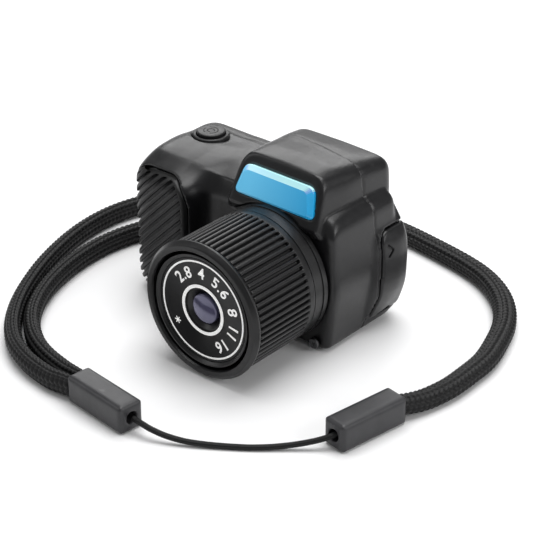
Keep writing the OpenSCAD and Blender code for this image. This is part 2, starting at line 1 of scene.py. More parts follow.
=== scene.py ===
"""The looks of the subminiature camera: softened shells, ribbed pad, fluted ring, dial, braided strap."""
import json
import math

import bmesh
import bpy
import numpy as np
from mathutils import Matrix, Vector

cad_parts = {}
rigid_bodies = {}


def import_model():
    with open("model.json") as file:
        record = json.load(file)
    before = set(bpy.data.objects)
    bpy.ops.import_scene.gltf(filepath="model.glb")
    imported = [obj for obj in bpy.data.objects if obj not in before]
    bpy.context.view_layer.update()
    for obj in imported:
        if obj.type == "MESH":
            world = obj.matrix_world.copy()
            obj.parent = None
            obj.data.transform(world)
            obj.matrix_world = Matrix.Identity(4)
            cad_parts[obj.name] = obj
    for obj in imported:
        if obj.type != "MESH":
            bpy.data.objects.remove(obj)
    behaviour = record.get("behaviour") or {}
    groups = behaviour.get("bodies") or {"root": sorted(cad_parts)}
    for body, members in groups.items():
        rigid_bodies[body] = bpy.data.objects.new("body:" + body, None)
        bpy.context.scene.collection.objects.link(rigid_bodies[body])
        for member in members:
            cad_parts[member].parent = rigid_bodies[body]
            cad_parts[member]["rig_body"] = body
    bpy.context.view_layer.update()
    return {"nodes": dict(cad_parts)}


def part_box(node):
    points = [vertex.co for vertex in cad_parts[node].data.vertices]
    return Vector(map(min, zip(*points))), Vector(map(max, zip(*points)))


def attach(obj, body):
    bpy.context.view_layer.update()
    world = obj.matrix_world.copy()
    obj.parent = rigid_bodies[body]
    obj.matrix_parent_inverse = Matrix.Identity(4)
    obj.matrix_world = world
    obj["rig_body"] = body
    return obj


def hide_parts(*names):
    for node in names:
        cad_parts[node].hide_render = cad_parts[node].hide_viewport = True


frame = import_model()
nodes = frame["nodes"]
MM = 0.001


def add_to_scene(name, data):
    thing = bpy.data.objects.new(name, data)
    bpy.context.scene.collection.objects.link(thing)
    return thing


# ---- camera ----

CAMERA_AZIMUTH = math.radians(40.63)
CAMERA_ELEVATION = math.radians(29.42)
CAMERA_TARGET = Vector((-0.00053, -0.010, 0.01516))
CAMERA_DISTANCE = 0.3831
CAMERA_LENS = 135.1


def add_camera():
    data = bpy.data.cameras.new("camera")
    data.sensor_width = 36
    data.lens = CAMERA_LENS
    data.clip_start = 0.01
    data.clip_end = 10
    camera = add_to_scene("camera", data)
    back = Vector((
        math.sin(CAMERA_AZIMUTH) * math.cos(CAMERA_ELEVATION),
        -math.cos(CAMERA_AZIMUTH) * math.cos(CAMERA_ELEVATION),
        math.sin(CAMERA_ELEVATION),
    ))
    camera.location = CAMERA_TARGET + back * CAMERA_DISTANCE
    camera.rotation_euler = (-back).to_track_quat("-Z", "Y").to_euler()
    bpy.context.scene.camera = camera


# ---- materials ----

def new_material(name):
    """A node material, with its tree and its shader."""
    material = bpy.data.materials.new(name)
    material.use_nodes = True
    tree = material.node_tree
    return material, tree, tree.nodes["Principled BSDF"]


def settle(node, values):
    """Sets a node's inputs by their names."""
    for name, value in values.items():
        node.inputs[name].default_value = value


def noise(tree, scale, detail=3.0, roughness=0.5):
    """Noise in the object's own coordinates; scale is in waves per metre."""
    place = tree.nodes.new("ShaderNodeTexCoord")
    texture = tree.nodes.new("ShaderNodeTexNoise")
    settle(texture, {"Scale": scale, "Detail": detail, "Roughness": roughness})
    tree.links.new(place.outputs["Object"], texture.inputs["Vector"])
    return texture.outputs["Fac"]


def ramp(tree, value, low, high, start=0.3, end=0.7):
    """A colour, or a grey for a number, that goes from low to high as value does from start to end."""
    node = tree.nodes.new("ShaderNodeValToRGB")
    for stop, place, colour in zip(node.color_ramp.elements, (start, end), (low, high)):
        stop.position = place
        stop.color = (*colour, 1) if hasattr(colour, "__len__") else (colour, colour, colour, 1)
    tree.links.new(value, node.inputs["Fac"])
    return node.outputs["Color"]


def add_bump(tree, shader, height, distance, strength=1.0):
    bump = tree.nodes.new("ShaderNodeBump")
    settle(bump, {"Strength": strength, "Distance": distance})
    tree.links.new(height, bump.inputs["Height"])
    tree.links.new(bump.outputs["Normal"], shader.inputs["Normal"])


def lighter(colour, share):
    """A colour moved a share of the way to white."""
    return tuple(c + (1 - c) * share for c in colour)


def paint(tree, shader, colour, gloss):
    tree.links.new(colour, shader.inputs["Base Color"])
    tree.links.new(gloss, shader.inputs["Roughness"])


def lightest(tree, one, two):
    """The lighter of two colours, channel by channel."""
    mix = tree.nodes.new("ShaderNodeMix")
    mix.data_type = "RGBA"
    mix.blend_type = "LIGHTEN"
    mix.inputs["Factor"].default_value = 1
    tree.links.new(one, mix.inputs["A"])
    tree.links.new(two, mix.inputs["B"])
    return mix.outputs["Result"]


def moulded(name, colour, roughness, grain=9000, grain_height=0.00001, edge_highlight_and_mottle=0.03, coat=0.0, shine=0.5):
    """Moulded plastic or rubber: fine grain, uneven gloss, and a painted highlight that makes the edges a
    little lighter.
    """
    material, tree, shader = new_material(name)
    edge = tree.nodes.new("ShaderNodeNewGeometry").outputs["Pointiness"]
    # Convex edges, found by pointiness, are painted lighter: a painted edge highlight.
    lightened = ramp(tree, edge, colour, lighter(colour, edge_highlight_and_mottle), 0.51, 0.6)
    patches = ramp(tree, noise(tree, 260), colour, lighter(colour, edge_highlight_and_mottle / 3))
    gloss = ramp(tree, noise(tree, 700, 4), roughness - 0.035, roughness + 0.035)
    paint(tree, shader, lightest(tree, lightened, patches), gloss)
    add_bump(tree, shader, noise(tree, grain, 2), grain_height)
    shader.inputs["Specular IOR Level"].default_value = shine
    if coat:
        settle(shader, {"Coat Weight": coat, "Coat Roughness": 0.12})
    return material


def metal(name, colour, roughness, scratches=4000):
    material, tree, shader = new_material(name)
    shader.inputs["Metallic"].default_value = 1
    lightened = ramp(tree, noise(tree, 900), colour, lighter(colour, 0.12))
    paint(tree, shader, lightened, ramp(tree, noise(tree, scratches, 5), roughness - 0.06, roughness + 0.06))
    return material


def window_blue():
    """Sky-blue gloss plastic, deeper towards +X, with a painted highlight on its upward-facing bevels and a
    painted glow.
    """
    material, tree, shader = new_material("window_blue")
    place = tree.nodes.new("ShaderNodeTexCoord")
    split = tree.nodes.new("ShaderNodeSeparateXYZ")
    tree.links.new(place.outputs["Object"], split.inputs["Vector"])
    along = tree.nodes.new("ShaderNodeMapRange")
    settle(along, {"From Min": -0.010, "From Max": 0.010})
    tree.links.new(split.outputs["X"], along.inputs["Value"])
    plate = ramp(tree, along.outputs["Result"], (0.11, 0.47, 0.74), (0.009, 0.27, 0.54), 0.2, 1.0)
    facing = tree.nodes.new("ShaderNodeSeparateXYZ")
    tree.links.new(place.outputs["Normal"], facing.inputs["Vector"])
    # Upward-facing bevels are painted lighter: a painted highlight.
    bevel = ramp(tree, facing.outputs["Z"], (0, 0, 0), (0.5, 0.9, 0.95), 0.5, 0.8)
    blue = lightest(tree, plate, bevel)
    paint(tree, shader, blue, ramp(tree, noise(tree, 500), 0.1, 0.16))
    # The emission gives the window a painted glow.
    settle(shader, {"Coat Weight": 0.6, "Emission Strength": 0.42})
    tree.links.new(blue, shader.inputs["Emission Color"])
    return material


def white_ink_painted_glow():
    """Screen-printed ink, given a painted glow so that it reads bright against the lacquer."""
    material, tree, shader = new_material("white_ink_painted_glow")
    tone = ramp(tree, noise(tree, 1500), (0.86, 0.86, 0.85), (0.95, 0.95, 0.94))
    tree.links.new(tone, shader.inputs["Base Color"])
    tree.links.new(tone, shader.inputs["Emission Color"])
    # The emission is a painted glow on the ink.
    settle(shader, {"Emission Strength": 0.25, "Roughness": 0.45})
    return material


def glass(name, tint, roughness=0.03):
    """Dark coated glass that shows its gloss."""
    material, tree, shader = new_material(name)
    tree.links.new(ramp(tree, noise(tree, 300), tint, lighter(tint, 0.04)), shader.inputs["Base Color"])
    settle(shader, {"Roughness": roughness, "IOR": 1.6, "Coat Weight": 1.0, "Coat Roughness": 0.03})
    return material


def lens_coating_painted_highlight():
    """Front element: a grey-violet coating, painted lighter and more violet where it faces the camera and
    darker and greyer towards the rim: painted highlight and shade.
    """
    material, tree, shader = new_material("lens_coating_painted_highlight")
    facing = tree.nodes.new("ShaderNodeLayerWeight")
    facing.inputs["Blend"].default_value = 0.45
    # Painted highlight and shade: the coating's colour is lighter face-on and darker at the rim, by view
    # angle.
    tint = ramp(tree, facing.outputs["Facing"], (0.1, 0.098, 0.13), (0.07, 0.07, 0.078), 0.1, 0.6)
    paint(tree, shader, tint, ramp(tree, noise(tree, 400), 0.16, 0.22))
    settle(shader, {
        "Coat Weight": 0.7, "Coat Tint": (0.62, 0.6, 1.0, 1), "Coat Roughness": 0.16, "IOR": 1.7,
    })
    return material


def braid_yarn():
    """Black polyester yarn with a faint sheen and fibres."""
    material, tree, shader = new_material("braid_yarn")
    fibres = ramp(tree, noise(tree, 2600, 4), (0.0015, 0.0015, 0.0018), (0.006, 0.006, 0.0065))
    paint(tree, shader, fibres, ramp(tree, noise(tree, 5000, 2), 0.38, 0.55))
    shader.inputs["Specular IOR Level"].default_value = 0.28
    add_bump(tree, shader, noise(tree, 9000, 3), 0.00004)
    return material


def make_materials():
    return {
        "shell": moulded("shell_satin", (0.0045, 0.0045, 0.0054), 0.32, edge_highlight_and_mottle=0.006, shine=0.45),
        "pad": moulded("pad_rubber", (0.0045, 0.0045, 0.005), 0.45, 6000, 0.00002, edge_highlight_and_mottle=0.01, shine=0.4),
        "lens": moulded("lens_satin", (0.0045, 0.0045, 0.0052), 0.34, edge_highlight_and_mottle=0.008, shine=0.42),
        "dial": moulded("dial_lacquer", (0.004, 0.004, 0.005), 0.4, edge_highlight_and_mottle=0.0, shine=0.3),
        "button": moulded("button_satin", (0.006, 0.006, 0.007), 0.38, edge_highlight_and_mottle=0.01, shine=0.42),
        "clip": moulded("clip_satin", (0.02, 0.02, 0.023), 0.38, 5000, 0.00002, shine=0.45),
        "white": white_ink_painted_glow(),
        # Dark lines and bars that stand for the shade in the shutter symbol's grooves and the screws' cross
        # recesses: painted shade.
        "engraved": moulded("engraved_painted_shade", (0.003, 0.003, 0.003), 0.6, edge_highlight_and_mottle=0.0),
        "foam": moulded("black_foam", (0.02, 0.02, 0.02), 0.9, 3000, 0.0001, edge_highlight_and_mottle=0.0),
        "board": moulded("board_lacquer", (0.01, 0.11, 0.045), 0.35, 2500, edge_highlight_and_mottle=0.05, coat=0.4),
        "chip": moulded("chip_epoxy", (0.016, 0.016, 0.018), 0.5, edge_highlight_and_mottle=0.05),
        "ribbon": moulded("amber_film", (0.45, 0.2, 0.03), 0.25, edge_highlight_and_mottle=0.05, coat=0.5),
        "led": moulded("lamp_phosphor", (0.8, 0.7, 0.3), 0.4, edge_highlight_and_mottle=0.0),
        "screen": glass("screen_glass", (0.004, 0.004, 0.006), 0.04),
        "smoke": glass("smoked_glass", (0.01, 0.012, 0.014), 0.05),
        "metal": metal("bright_metal", (0.62, 0.62, 0.64), 0.28),
        "screw": metal("blackened_steel", (0.06, 0.06, 0.065), 0.36),
        "foil": metal("silver_foil", (0.7, 0.71, 0.73), 0.34, 700),
        "window": window_blue(),
        "coating": lens_coating_painted_highlight(),
        "yarn": braid_yarn(),
    }


# ---- building pieces ----

def add_piece(name, verts, faces, material, body="camera", flat=False, node=None):
    """A mesh piece in millimetres of the part's frame, riding on a body."""
    mesh = bpy.data.meshes.new(name)
    mesh.from_pydata([Vector(v) * MM for v in verts], [], faces)
    mesh.update()
    tidy_normals(mesh)
    return add_object(name, mesh, material, body, flat, node)


def add_object(name, mesh, material, body, flat=False, node=None):
    """A mesh as a piece of one material, riding on a body, and standing for a CAD node if it is given."""
    mesh.materials.clear()
    mesh.materials.append(material)
    mesh.polygons.foreach_set("use_smooth", [not flat] * len(mesh.polygons))
    piece = add_to_scene(name, mesh)
    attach(piece, body)
    if node:
        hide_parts(node)
    return piece


def tidy_normals(mesh):
    """Joins points that coincide and turns every face outwards."""
    work = bmesh.new()
    work.from_mesh(mesh)
    bmesh.ops.remove_doubles(work, verts=work.verts, dist=1e-7)
    bmesh.ops.recalc_face_normals(work, faces=work.faces)
    work.to_mesh(mesh)
    work.free()


def grid_faces(rows, columns):
    """Quads over a grid of points listed row by row, whose columns run round."""
    faces = []
    for i in range(rows - 1):
        for k in range(columns):
            a = i * columns + k
            b = i * columns + (k + 1) % columns
            faces.append((a, b, b + columns, a + columns))
    return faces


def end_caps(rows, columns):
    """Faces that close the first and last rows of a grid whose columns run round."""
    return [tuple(range(columns)), tuple(range((rows - 1) * columns, rows * columns))]


def fillet_line(corners, steps=5):
    """An open or closed line of corners (u, v, radius), each rounded by its radius."""
    line = []
    count = len(corners)
    closed = corners[0][:2] == corners[-1][:2]
    for i, (u, v, radius) in enumerate(corners):
        if closed and i == count - 1:
            break
        inner = 0 < i < count - 1
        if radius == 0 or not (inner or closed):
            line.append((u, v))
            continue
        here = Vector((u, v))
        before = Vector(corners[i - 1 if i > 0 else count - 2][:2])
        after = Vector(corners[(i + 1) % count][:2])
        back, on = (before - here).normalized(), (after - here).normalized()
        half = back.angle(on) / 2
        longest = 0.49 * min((before - here).length, (after - here).length)
        reach = min(radius / math.tan(half), longest)
        for k in range(steps + 1):
            t = k / steps
            line.append(tuple(here + back * reach * (1 - t) ** 2 + on * reach * t ** 2))
    if closed:
        line.append(line[0])
    return line


LENS_Z = sum(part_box("dial_plate")[i].z for i in (0, 1)) / 2 / MM
TURN_STEPS = 144


def turned(name, profile, material, body="camera", centre=None, upright=False, steps=TURN_STEPS,
           node=None):
    """A turned piece. The profile's corners are (along the axis, radius, fillet)."""
    centre = centre or (0, LENS_Z)
    line = fillet_line(profile)
    verts = []
    for along, radius in line:
        for k in range(steps):
            a = 2 * math.pi * k / steps
            across, up = radius * math.cos(a), radius * math.sin(a)
            if upright:
                verts.append((centre[0] + across, centre[1] + up, along))
            else:
                verts.append((centre[0] + across, along, centre[1] + up))
    faces = grid_faces(len(line), steps)
    return add_piece(name, verts, faces, material, body, node=node)


def mesh_of(work):
    """The mesh that a working object comes to; the object is removed."""
    bpy.context.view_layer.update()
    mesh = bpy.data.meshes.new_from_object(work.evaluated_get(bpy.context.evaluated_depsgraph_get()))
    bpy.data.objects.remove(work)
    return mesh


def softened(node, material, voxel, rounds, keep):
    """A copy of a CAD piece whose edges are rounded as a mould leaves them; it stands for the node."""
    mesh = nodes[node].data.copy()
    tidy_normals(mesh)
    work = add_to_scene(node + "_work", mesh)
    remesh = work.modifiers.new("remesh", "REMESH")
    remesh.mode = "VOXEL"
    remesh.voxel_size = voxel * MM
    smooth = work.modifiers.new("smooth", "SMOOTH")
    smooth.factor = 0.5
    smooth.iterations = rounds
    fewer = work.modifiers.new("fewer", "DECIMATE")
    fewer.ratio = keep
    return add_object(node + "_moulded", mesh_of(work), material, nodes[node]["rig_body"], node=node)


# ---- strap ----

def with_sections(points):
    """A cord's points, where one without a section of its own has that of the point before."""
    rows = []
    for point in points:
        rows.append(point if len(point) == 5 else point + rows[-1][3:])
    return rows


# Points in millimetres: x, y, z, then the section's width and height where they change
LONG_ROUTE = with_sections([
    (-12.6, -50.9, 2.8, 2.6, 4.2), (-15.5, -50.9, 2.5, 3.1, 4.3), (-19, -50.8, 2.15, 3.4, 4.3),
    (-25.5, -49.7, 2.15), (-31.5, -47.3, 2.15), (-36.3, -43.8, 2.15), (-40.4, -39.4, 2.15),
    (-44, -34.4, 2.15), (-47.2, -28.8, 2.15), (-50.2, -22.5, 2.15), (-52.6, -16, 2.15), (-54.4, -9.5, 2.15),
    (-55.4, -3, 2.15), (-55.4, 3, 2.15), (-54.4, 8.5, 2.15), (-52.2, 15, 2.15),
    (-48.5, 21.2, 2.1, 3.6, 4.2), (-43.5, 26.8, 2.05, 3.8, 4.1), (-37, 31.5, 2, 4, 4),
    (-29.5, 35, 1.9, 4.3, 3.8), (-21, 37.2, 1.85, 4.5, 3.7), (-12, 38.1, 1.8, 4.7, 3.6), (-3.5, 38, 1.8),
    (5.5, 36.9, 1.8), (14.5, 35.3, 1.8), (21, 33.2, 1.8), (26.5, 29.8, 1.8), (31, 25.4, 1.8),
    (34.5, 20.2, 1.8), (37, 14.2, 1.8), (39, 7.5, 1.8), (39.5, 1, 1.8), (39.5, -5, 1.8), (38.5, -10.5, 1.8),
    (37.5, -14.2, 2.3, 4.4, 3.6), (36.6, -16.7, 2.8, 4.2, 3.6),
])
SHORT_ROUTE = with_sections([
    (-12.4, -48.3, 2.8, 2.6, 4.2), (-15.3, -47.9, 2.5, 3.1, 4.3), (-18.5, -47.3, 2.15, 3.4, 4.3),
    (-24.3, -46, 2.15), (-29.6, -43.8, 2.15), (-34, -40.8, 2.15), (-37.8, -37, 2.15), (-41, -32.4, 2.15),
    (-43.6, -27.2, 2.15), (-45.6, -21.4, 2.15), (-46.9, -15.2, 2.15), (-47.4, -8.8, 2.15),
    (-46.9, -2.8, 2.15), (-45.4, 2.6, 2.15), (-42.8, 7.2, 2.15), (-39.4, 10.4, 2.3, 3.4, 4.2),
    (-35.4, 11.8, 2.6, 3.2, 4),
])
STRING_ROUTE = with_sections([
    (3.2, -51.3, 2.9, 1.15, 1.15), (5.2, -51.3, 2.7), (7.6, -51, 2.2), (10.4, -50, 1.5),
    (13.6, -48.4, 0.95), (17, -46.3, 0.7), (20.2, -44.1, 0.6), (23.1, -42, 0.6), (25.8, -39.7, 0.7),
    (28.4, -37.3, 1), (31, -34.9, 1.6), (33, -32.9, 2.3), (34.2, -31.2, 2.9),
])
# A braid: points round the cord, rows of beads round it, and the beads' pitch and height
STRAP_BRAID = (70, 10, 1.15, 0.34)
STRING_BRAID = (24, 6, 0.5, 0.08)
BEAD_LEAN = 0.55
BEAD_REACH = 0.52
BEAD_SUNK = 0.8
RING_STEP = 0.16
SPLINE_STEPS = 24


def smooth_route(route, step):
    """The route's curve through its points, as rows at about one step apart, and its length along."""
    points = np.array(route, float)
    ends = np.vstack([2 * points[0] - points[1], points, 2 * points[-1] - points[-2]])
    rows = []
    for i in range(1, len(points)):
        a, b, c, d = ends[i - 1], ends[i], ends[i + 1], ends[i + 2]
        for t in np.linspace(0, 1, SPLINE_STEPS, endpoint=False):
            rows.append(0.5 * (2 * b + (c - a) * t + (2 * a - 5 * b + 4 * c - d) * t * t
                               + (3 * b - a - 3 * c + d) * t ** 3))
    rows.append(points[-1])
    rows = np.array(rows)
    along = np.concatenate([[0], np.cumsum(np.linalg.norm(np.diff(rows[:, :3], axis=0), axis=1))])
    places = np.linspace(0, along[-1], max(2, int(round(along[-1] / step))) + 1)
    return np.stack([np.interp(places, along, rows[:, k]) for k in range(5)], axis=1), places


def bead_height(along, row, pitch):
    """Height from 0 to 1 of the braid's beads: rows of leaning beads run along the cord, and each
    two rows lean against each other, which makes the V stitches."""
    across = np.mod(row, 1) - 0.5
    lean = np.where(np.mod(np.floor(row), 2) < 1, BEAD_LEAN, -BEAD_LEAN)
    lengthways = np.mod(along / pitch + lean * across, 1) - 0.5
    return np.sqrt(np.clip(1 - (across / 0.5) ** 2 - (lengthways / BEAD_REACH) ** 2, 0, 1))


def add_cord(name, route, braid, material, node):
    """A braided cord along its route: the piece, its middle line and its length in metres."""
    sides, rows_round, pitch, bead = braid
    rows, along = smooth_route(route, RING_STEP)
    middle = rows[:, :3]
    heading = np.gradient(middle, axis=0)
    heading /= np.linalg.norm(heading, axis=1)[:, None]
    across = np.cross(heading, [0, 0, 1])
    across /= np.linalg.norm(across, axis=1)[:, None]
    up = np.cross(across, heading)
    angle = 2 * math.pi * np.arange(sides) / sides
    s, row = np.meshgrid(along, rows_round * np.arange(sides) / sides, indexing="ij")
    height = (bead_height(s, row, pitch) - BEAD_SUNK) * bead
    wide = rows[:, 3][:, None] / 2 + height
    tall = rows[:, 4][:, None] / 2 + height
    verts = (middle[:, None, :] + across[:, None, :] * (wide * np.cos(angle))[..., None]
             + up[:, None, :] * (tall * np.sin(angle))[..., None])
    verts[..., 2] = np.maximum(verts[..., 2], 0.01)
    count = len(rows)
    faces = grid_faces(count, sides)
    verts = verts.reshape(-1, 3).tolist()
    for end in (0, count - 1):
        verts.append(middle[end].tolist())
        first = end * sides
        faces += [(first + k, first + (k + 1) % sides, len(verts) - 1) for k in range(sides)]
    piece = add_piece(name, verts, faces, material, "camera", node=node)
    return piece, (middle * MM).tolist(), float(along[-1]) * MM


def add_strap(look):
    clips = {
        side: softened(f"clip_{side}", look["clip"], 0.13, 22, 0.6)
        for side in ("left", "right")
    }
    cords = [
        ("strap_cord_long", LONG_ROUTE, STRAP_BRAID, 0.0043, "right", "braid_black"),
        ("strap_cord_short", SHORT_ROUTE[::-1], STRAP_BRAID, 0.0043, "left", "braid_black"),
        ("clip_string", STRING_ROUTE, STRING_BRAID, 0.00115, "right", "string_black"),
    ]
    for node, route, braid, diameter, end, slot in cords:
        piece, path, length = add_cord(f"{node}_braided", route, braid, look["yarn"], node)


# ---- moulded body: fields in millimetres, below zero inside a form ----

def rectangle(low, high, radius):
    """A rectangle's corners, each (u, v, radius)."""
    spots = [low, (high[0], low[1]), high, (low[0], high[1])]
    return [(u, v, radius) for u, v in spots]


# Outlines are corners (u, v, radius): a FRONT in x and z, a SIDE in y and z, a TOP in x and y
BODY_FRONT = [(-36, 0, 5), (13.2, 0, 1.5), (15.4, 14, 20), (13.8, 28.6, 5), (0, 30.2, 40), (-36, 30.9, 7)]
BODY_SIDE = [(-8.8, 0, 1), (12.4, 0, 2.5), (12.4, 30.2, 5), (-1, 30.2, 12), (-6.6, 28.6, 0.5), (-8.8, 25, 3)]
BODY_TOP = [(-36, -8.8, 12), (15.4, -8.8, 1.2), (15.4, 12.4, 3), (-36, 12.4, 6)]
GRIP_FRONT = [(-34.8, 0, 6.4), (-17.2, 0, 3.5), (-17.2, 26.8, 4), (-23.5, 29.5, 8), (-36, 31, 7.5)]
GRIP_SIDE = [(-14.6, 0, 3.5), (2, 0, 0), (2, 30.4, 0), (-4.5, 30.4, 8), (-14.6, 26.8, 3.2)]
GRIP_TOP = [(-36, 2, 0), (-36, -14.6, 9.4), (-17.2, -14.6, 3.8), (-17.2, 2, 0)]
BACK_FRONT = [(-33, 0.8, 4), (13, 0, 5), (17, 9.5, 10), (17.3, 17.8, 8), (11, 26.8, 5), (-33, 26.8, 4)]
BACK_SIDE = [(1.6, 0, 0.3), (13.9, 0, 4), (13.9, 28, 5), (4.6, 29.5, 0.3)]
BACK_TOP = [(-33, 1.6, 0.3), (15, 1.6, 0.3), (17.6, 9.5, 4), (16.8, 13.9, 3.5), (-33, 13.9, 5)]
HUMP_FRONT = [(-11.4, 24, 0.5), (11.4, 24, 0.5), (9.5, 36, 4.2), (0, 36.8, 20), (-9.5, 36, 4.2)]
HUMP_BACK = [(-12.8, 24, 0.5), (12.8, 24, 0.5), (11.8, 35.2, 4.6), (0, 36.2, 20), (-11.8, 35.2, 4.6)]
HUMP_SIDE = [
    (-8.4, 24, 0.4), (14.2, 24, 1), (14.2, 33.6, 4), (7, 35.5, 10), (-1, 36.4, 10), (-5.4, 35.7, 0.8),
    (-9.5, 26, 0.8),
]
HUMP_TOP = [(-13, -13, 0.5), (13, -13, 0.5), (12.9, 14.2, 3.4), (-12.9, 14.2, 3.4)]
# The grip pad's outline and its ribs' are drawn on a plane that leans back from upright
PAD_LEAN = math.radians(35)
PAD_EDGE = [(-37, -6.4, 5), (-18.8, -6.4, 4.5), (-18.8, 12.8, 4.5), (-22.5, 16.4, 5), (-31.5, 16.2, 6),
            (-37, 10.5, 3)]
RIB_AREA = [(-40, -5.4, 0.5), (-19.8, -5.4, 3.5), (-19.8, 12.6, 3.5), (-22.9, 15.4, 4.2), (-31, 15.2, 5),
            (-40, 6, 0.5)]
RIB_PITCH = 2.06
RIB_START = 33.2
RIB_GROOVE = 0.27
WALL = 1.3
SEAM_GAP = 0.16
TONGUE = 0.6
WINDOW_CENTRE = (-7.35, 30.7)
WINDOW_LEAN = math.radians(20.5)
WINDOW_FOOT = 9.75
WINDOW_HEAD = 8.35
WINDOW_HALF = 3.0
WINDOW_EDGE = [(-WINDOW_FOOT, -WINDOW_HALF, 1.1), (WINDOW_FOOT, -WINDOW_HALF, 1.1),
               (WINDOW_HEAD, WINDOW_HALF, 2), (-WINDOW_HEAD, WINDOW_HALF, 2)]
SCREEN_EDGE = rectangle((-14.5, 5.2), (11.5, 24.7), 1.2)
EYEPIECE_EDGE = rectangle((-7, 25.4), (7, 31), 1.5)
SOCKET_EDGE = rectangle((8.3, 10.4), (11.5, 19.4), 1.4)
COVER_EDGE = [(5.3, 6, 0.3), (16, 6, 0.3), (16, 21.2, 0.3), (5.3, 21.2, 2.4)]
SHUTTER_SPOT = (-27, 3.8)
COLLAR_SEAT = 29.5
SCREW_SPOTS = [(-30, 4.8), (-30.5, 22.2), (9, 3.05), (8.3, 26.4)]
KEY_SPOTS = [(-19.5, 22.5), (-25.5, 22.5), (-22.5, 15.5), (-22.5, 8.5)]
HINGE = (14, 13.65)
# Spans up the hinge: the knuckles of shell and cover, and the room each leaves for the other's
SHELL_KNUCKLES = [(6.5, 8.75), (14.25, 16.5)]
SHELL_ROOM = [(8.75, 14.25)]
COVER_KNUCKLES = [(8.9, 14.1)]
COVER_ROOM = [(6.3, 8.9), (14.1, 16.7)]
KNUCKLE_R = 0.75
KNUCKLE_ROOM_R = 1.0
HINGE_PIN_R = 0.4


def blend_max(a, b, k):
    """What two forms share, with the edge between them rounded over k."""
    reach = np.maximum(k - np.abs(a - b), 0) / k
    return np.maximum(a, b) + reach * reach * k / 4


def blend_min(a, b, k):
    """Two forms joined, with the corner between them filled over k."""
    return -blend_max(-a, -b, k)


def outline_field(corners, u, v, grow=0.0):
    """A convex outline of corners (u, v, radius), seen along the third axis."""
    count = len(corners)
    turn = sum(corners[i - 1][0] * corners[i][1] - corners[i][0] * corners[i - 1][1] for i in range(count))
    if turn < 0:
        corners = corners[::-1]
    field = np.full(np.broadcast(u, v).shape, -1000.0, np.float32)
    rounds = []
    for i, (cu, cv, radius) in enumerate(corners):
        here = np.array([cu, cv], float)
        to = here - np.array(corners[i - 1][:2], float)
        on = np.array(corners[(i + 1) % count][:2], float) - here
        to, on = to / np.linalg.norm(to), on / np.linalg.norm(on)
        out_to, out_on = np.array([to[1], -to[0]]), np.array([on[1], -on[0]])
        field = np.maximum(field, (u - cu) * out_on[0] + (v - cv) * out_on[1])
        rounds.append((here - radius * (out_to + out_on) / (1 + out_to @ out_on), to, on, radius))
    for centre, to, on, radius in rounds:
        wu, wv = u - centre[0], v - centre[1]
        corner = (wu * to[0] + wv * to[1] > 0) & (wu * on[0] + wv * on[1] < 0)
        field = np.where(corner, np.hypot(wu, wv) - radius, field)
    return field - grow


def box_field(x, y, z, low, high):
    """A block from its low to its high corner."""
    sides = [np.maximum(lo - c, c - hi) for c, lo, hi in zip((x, y, z), low, high)]
    return np.maximum(np.maximum(sides[0], sides[1]), sides[2])


def rod_field(u, v, along, centre, radius, low, high):
    """A round bar along one axis; u and v are the other two."""
    return np.maximum(np.hypot(u - centre[0], v - centre[1]) - radius, np.maximum(low - along, along - high))


def three_views(front, side, top, x, y, z, k):
    """What three outlines share, with the edges between them rounded over k."""
    form = blend_max(outline_field(front, x, z), outline_field(side, y, z), k)
    return blend_max(form, outline_field(top, x, y), k)


def opening(edge, u, v, grow, end):
    """A cut with an outline, grown by so much, that stops where end rises above zero."""
    return np.maximum(outline_field(edge, u, v, grow), end)


def cut_away(form, cuts):
    """A form less its cuts; each cut comes with the rounding of its mouth."""
    for cut, k in cuts:
        form = blend_max(form, -cut, k)
    return form


def outer_field(x, y, z):
    """The whole outside of the body: main block, grip, back and hump, with a fillet beside the grip."""
    body = three_views(BODY_FRONT, BODY_SIDE, BODY_TOP, x, y, z, 2.2)
    grip = three_views(GRIP_FRONT, GRIP_SIDE, GRIP_TOP, x, y, z, 3.4)
    back = three_views(BACK_FRONT, BACK_SIDE, BACK_TOP, x, y, z, 2.0)
    # the hump widens and its edges grow softer from its front to its back
    share = np.clip((y + 10) / 24, 0, 1)
    across = outline_field(HUMP_FRONT, x, z) * (1 - share) + outline_field(HUMP_BACK, x, z) * share
    hump_edge = 0.8 + 2.2 * np.clip((y + 6) / 10, 0, 1)
    hump = blend_max(across, outline_field(HUMP_SIDE, y, z), hump_edge)
    hump = blend_max(hump, outline_field(HUMP_TOP, x, y), hump_edge)
    # the grip flows into the body, and neither grows past the body's front view
    grip_edge = 0.3 + 2.3 * np.clip((-14 - x) / 8, 0, 1)
    outer = blend_min(body, grip, 5.0)
    outer = blend_max(outer, outline_field(BODY_FRONT, x, z), grip_edge)
    outer = blend_min(outer, back, 0.5)
    outer = blend_min(outer, hump, 0.5)
    return np.maximum(outer, -z)


def seam_field(x, y, z):
    """How far behind the seam a point is. Beside the port cover the seam stands upright."""
    plan = np.interp(x, [-11, 10, 12.6], [7.5, 4.5, 4.5])
    side = np.interp(z, [0, 7.5, 24], [1.9, 4.4, 4.7])
    return y - np.where(x > 12.6, side, plan)


def cover_field(x, y, z, grow):
    """The port cover's outline, right through; its front edge follows the seam."""
    upper = outline_field(COVER_EDGE, y, z, grow)
    lower = np.maximum(0.6 - grow - seam_field(x, y, z), np.maximum(1.6 - grow - z, z - 12))
    return np.maximum(np.minimum(upper, lower), 14 - 1.5 * grow - x)


def knuckle_field(x, y, z, spans, radius):
    """Round bars on the hinge's line, one to each span."""
    knuckles = [rod_field(x, y, z, HINGE, radius, low, high) for low, high in spans]
    field = knuckles[0]
    for knuckle in knuckles[1:]:
        field = np.minimum(field, knuckle)
    return field


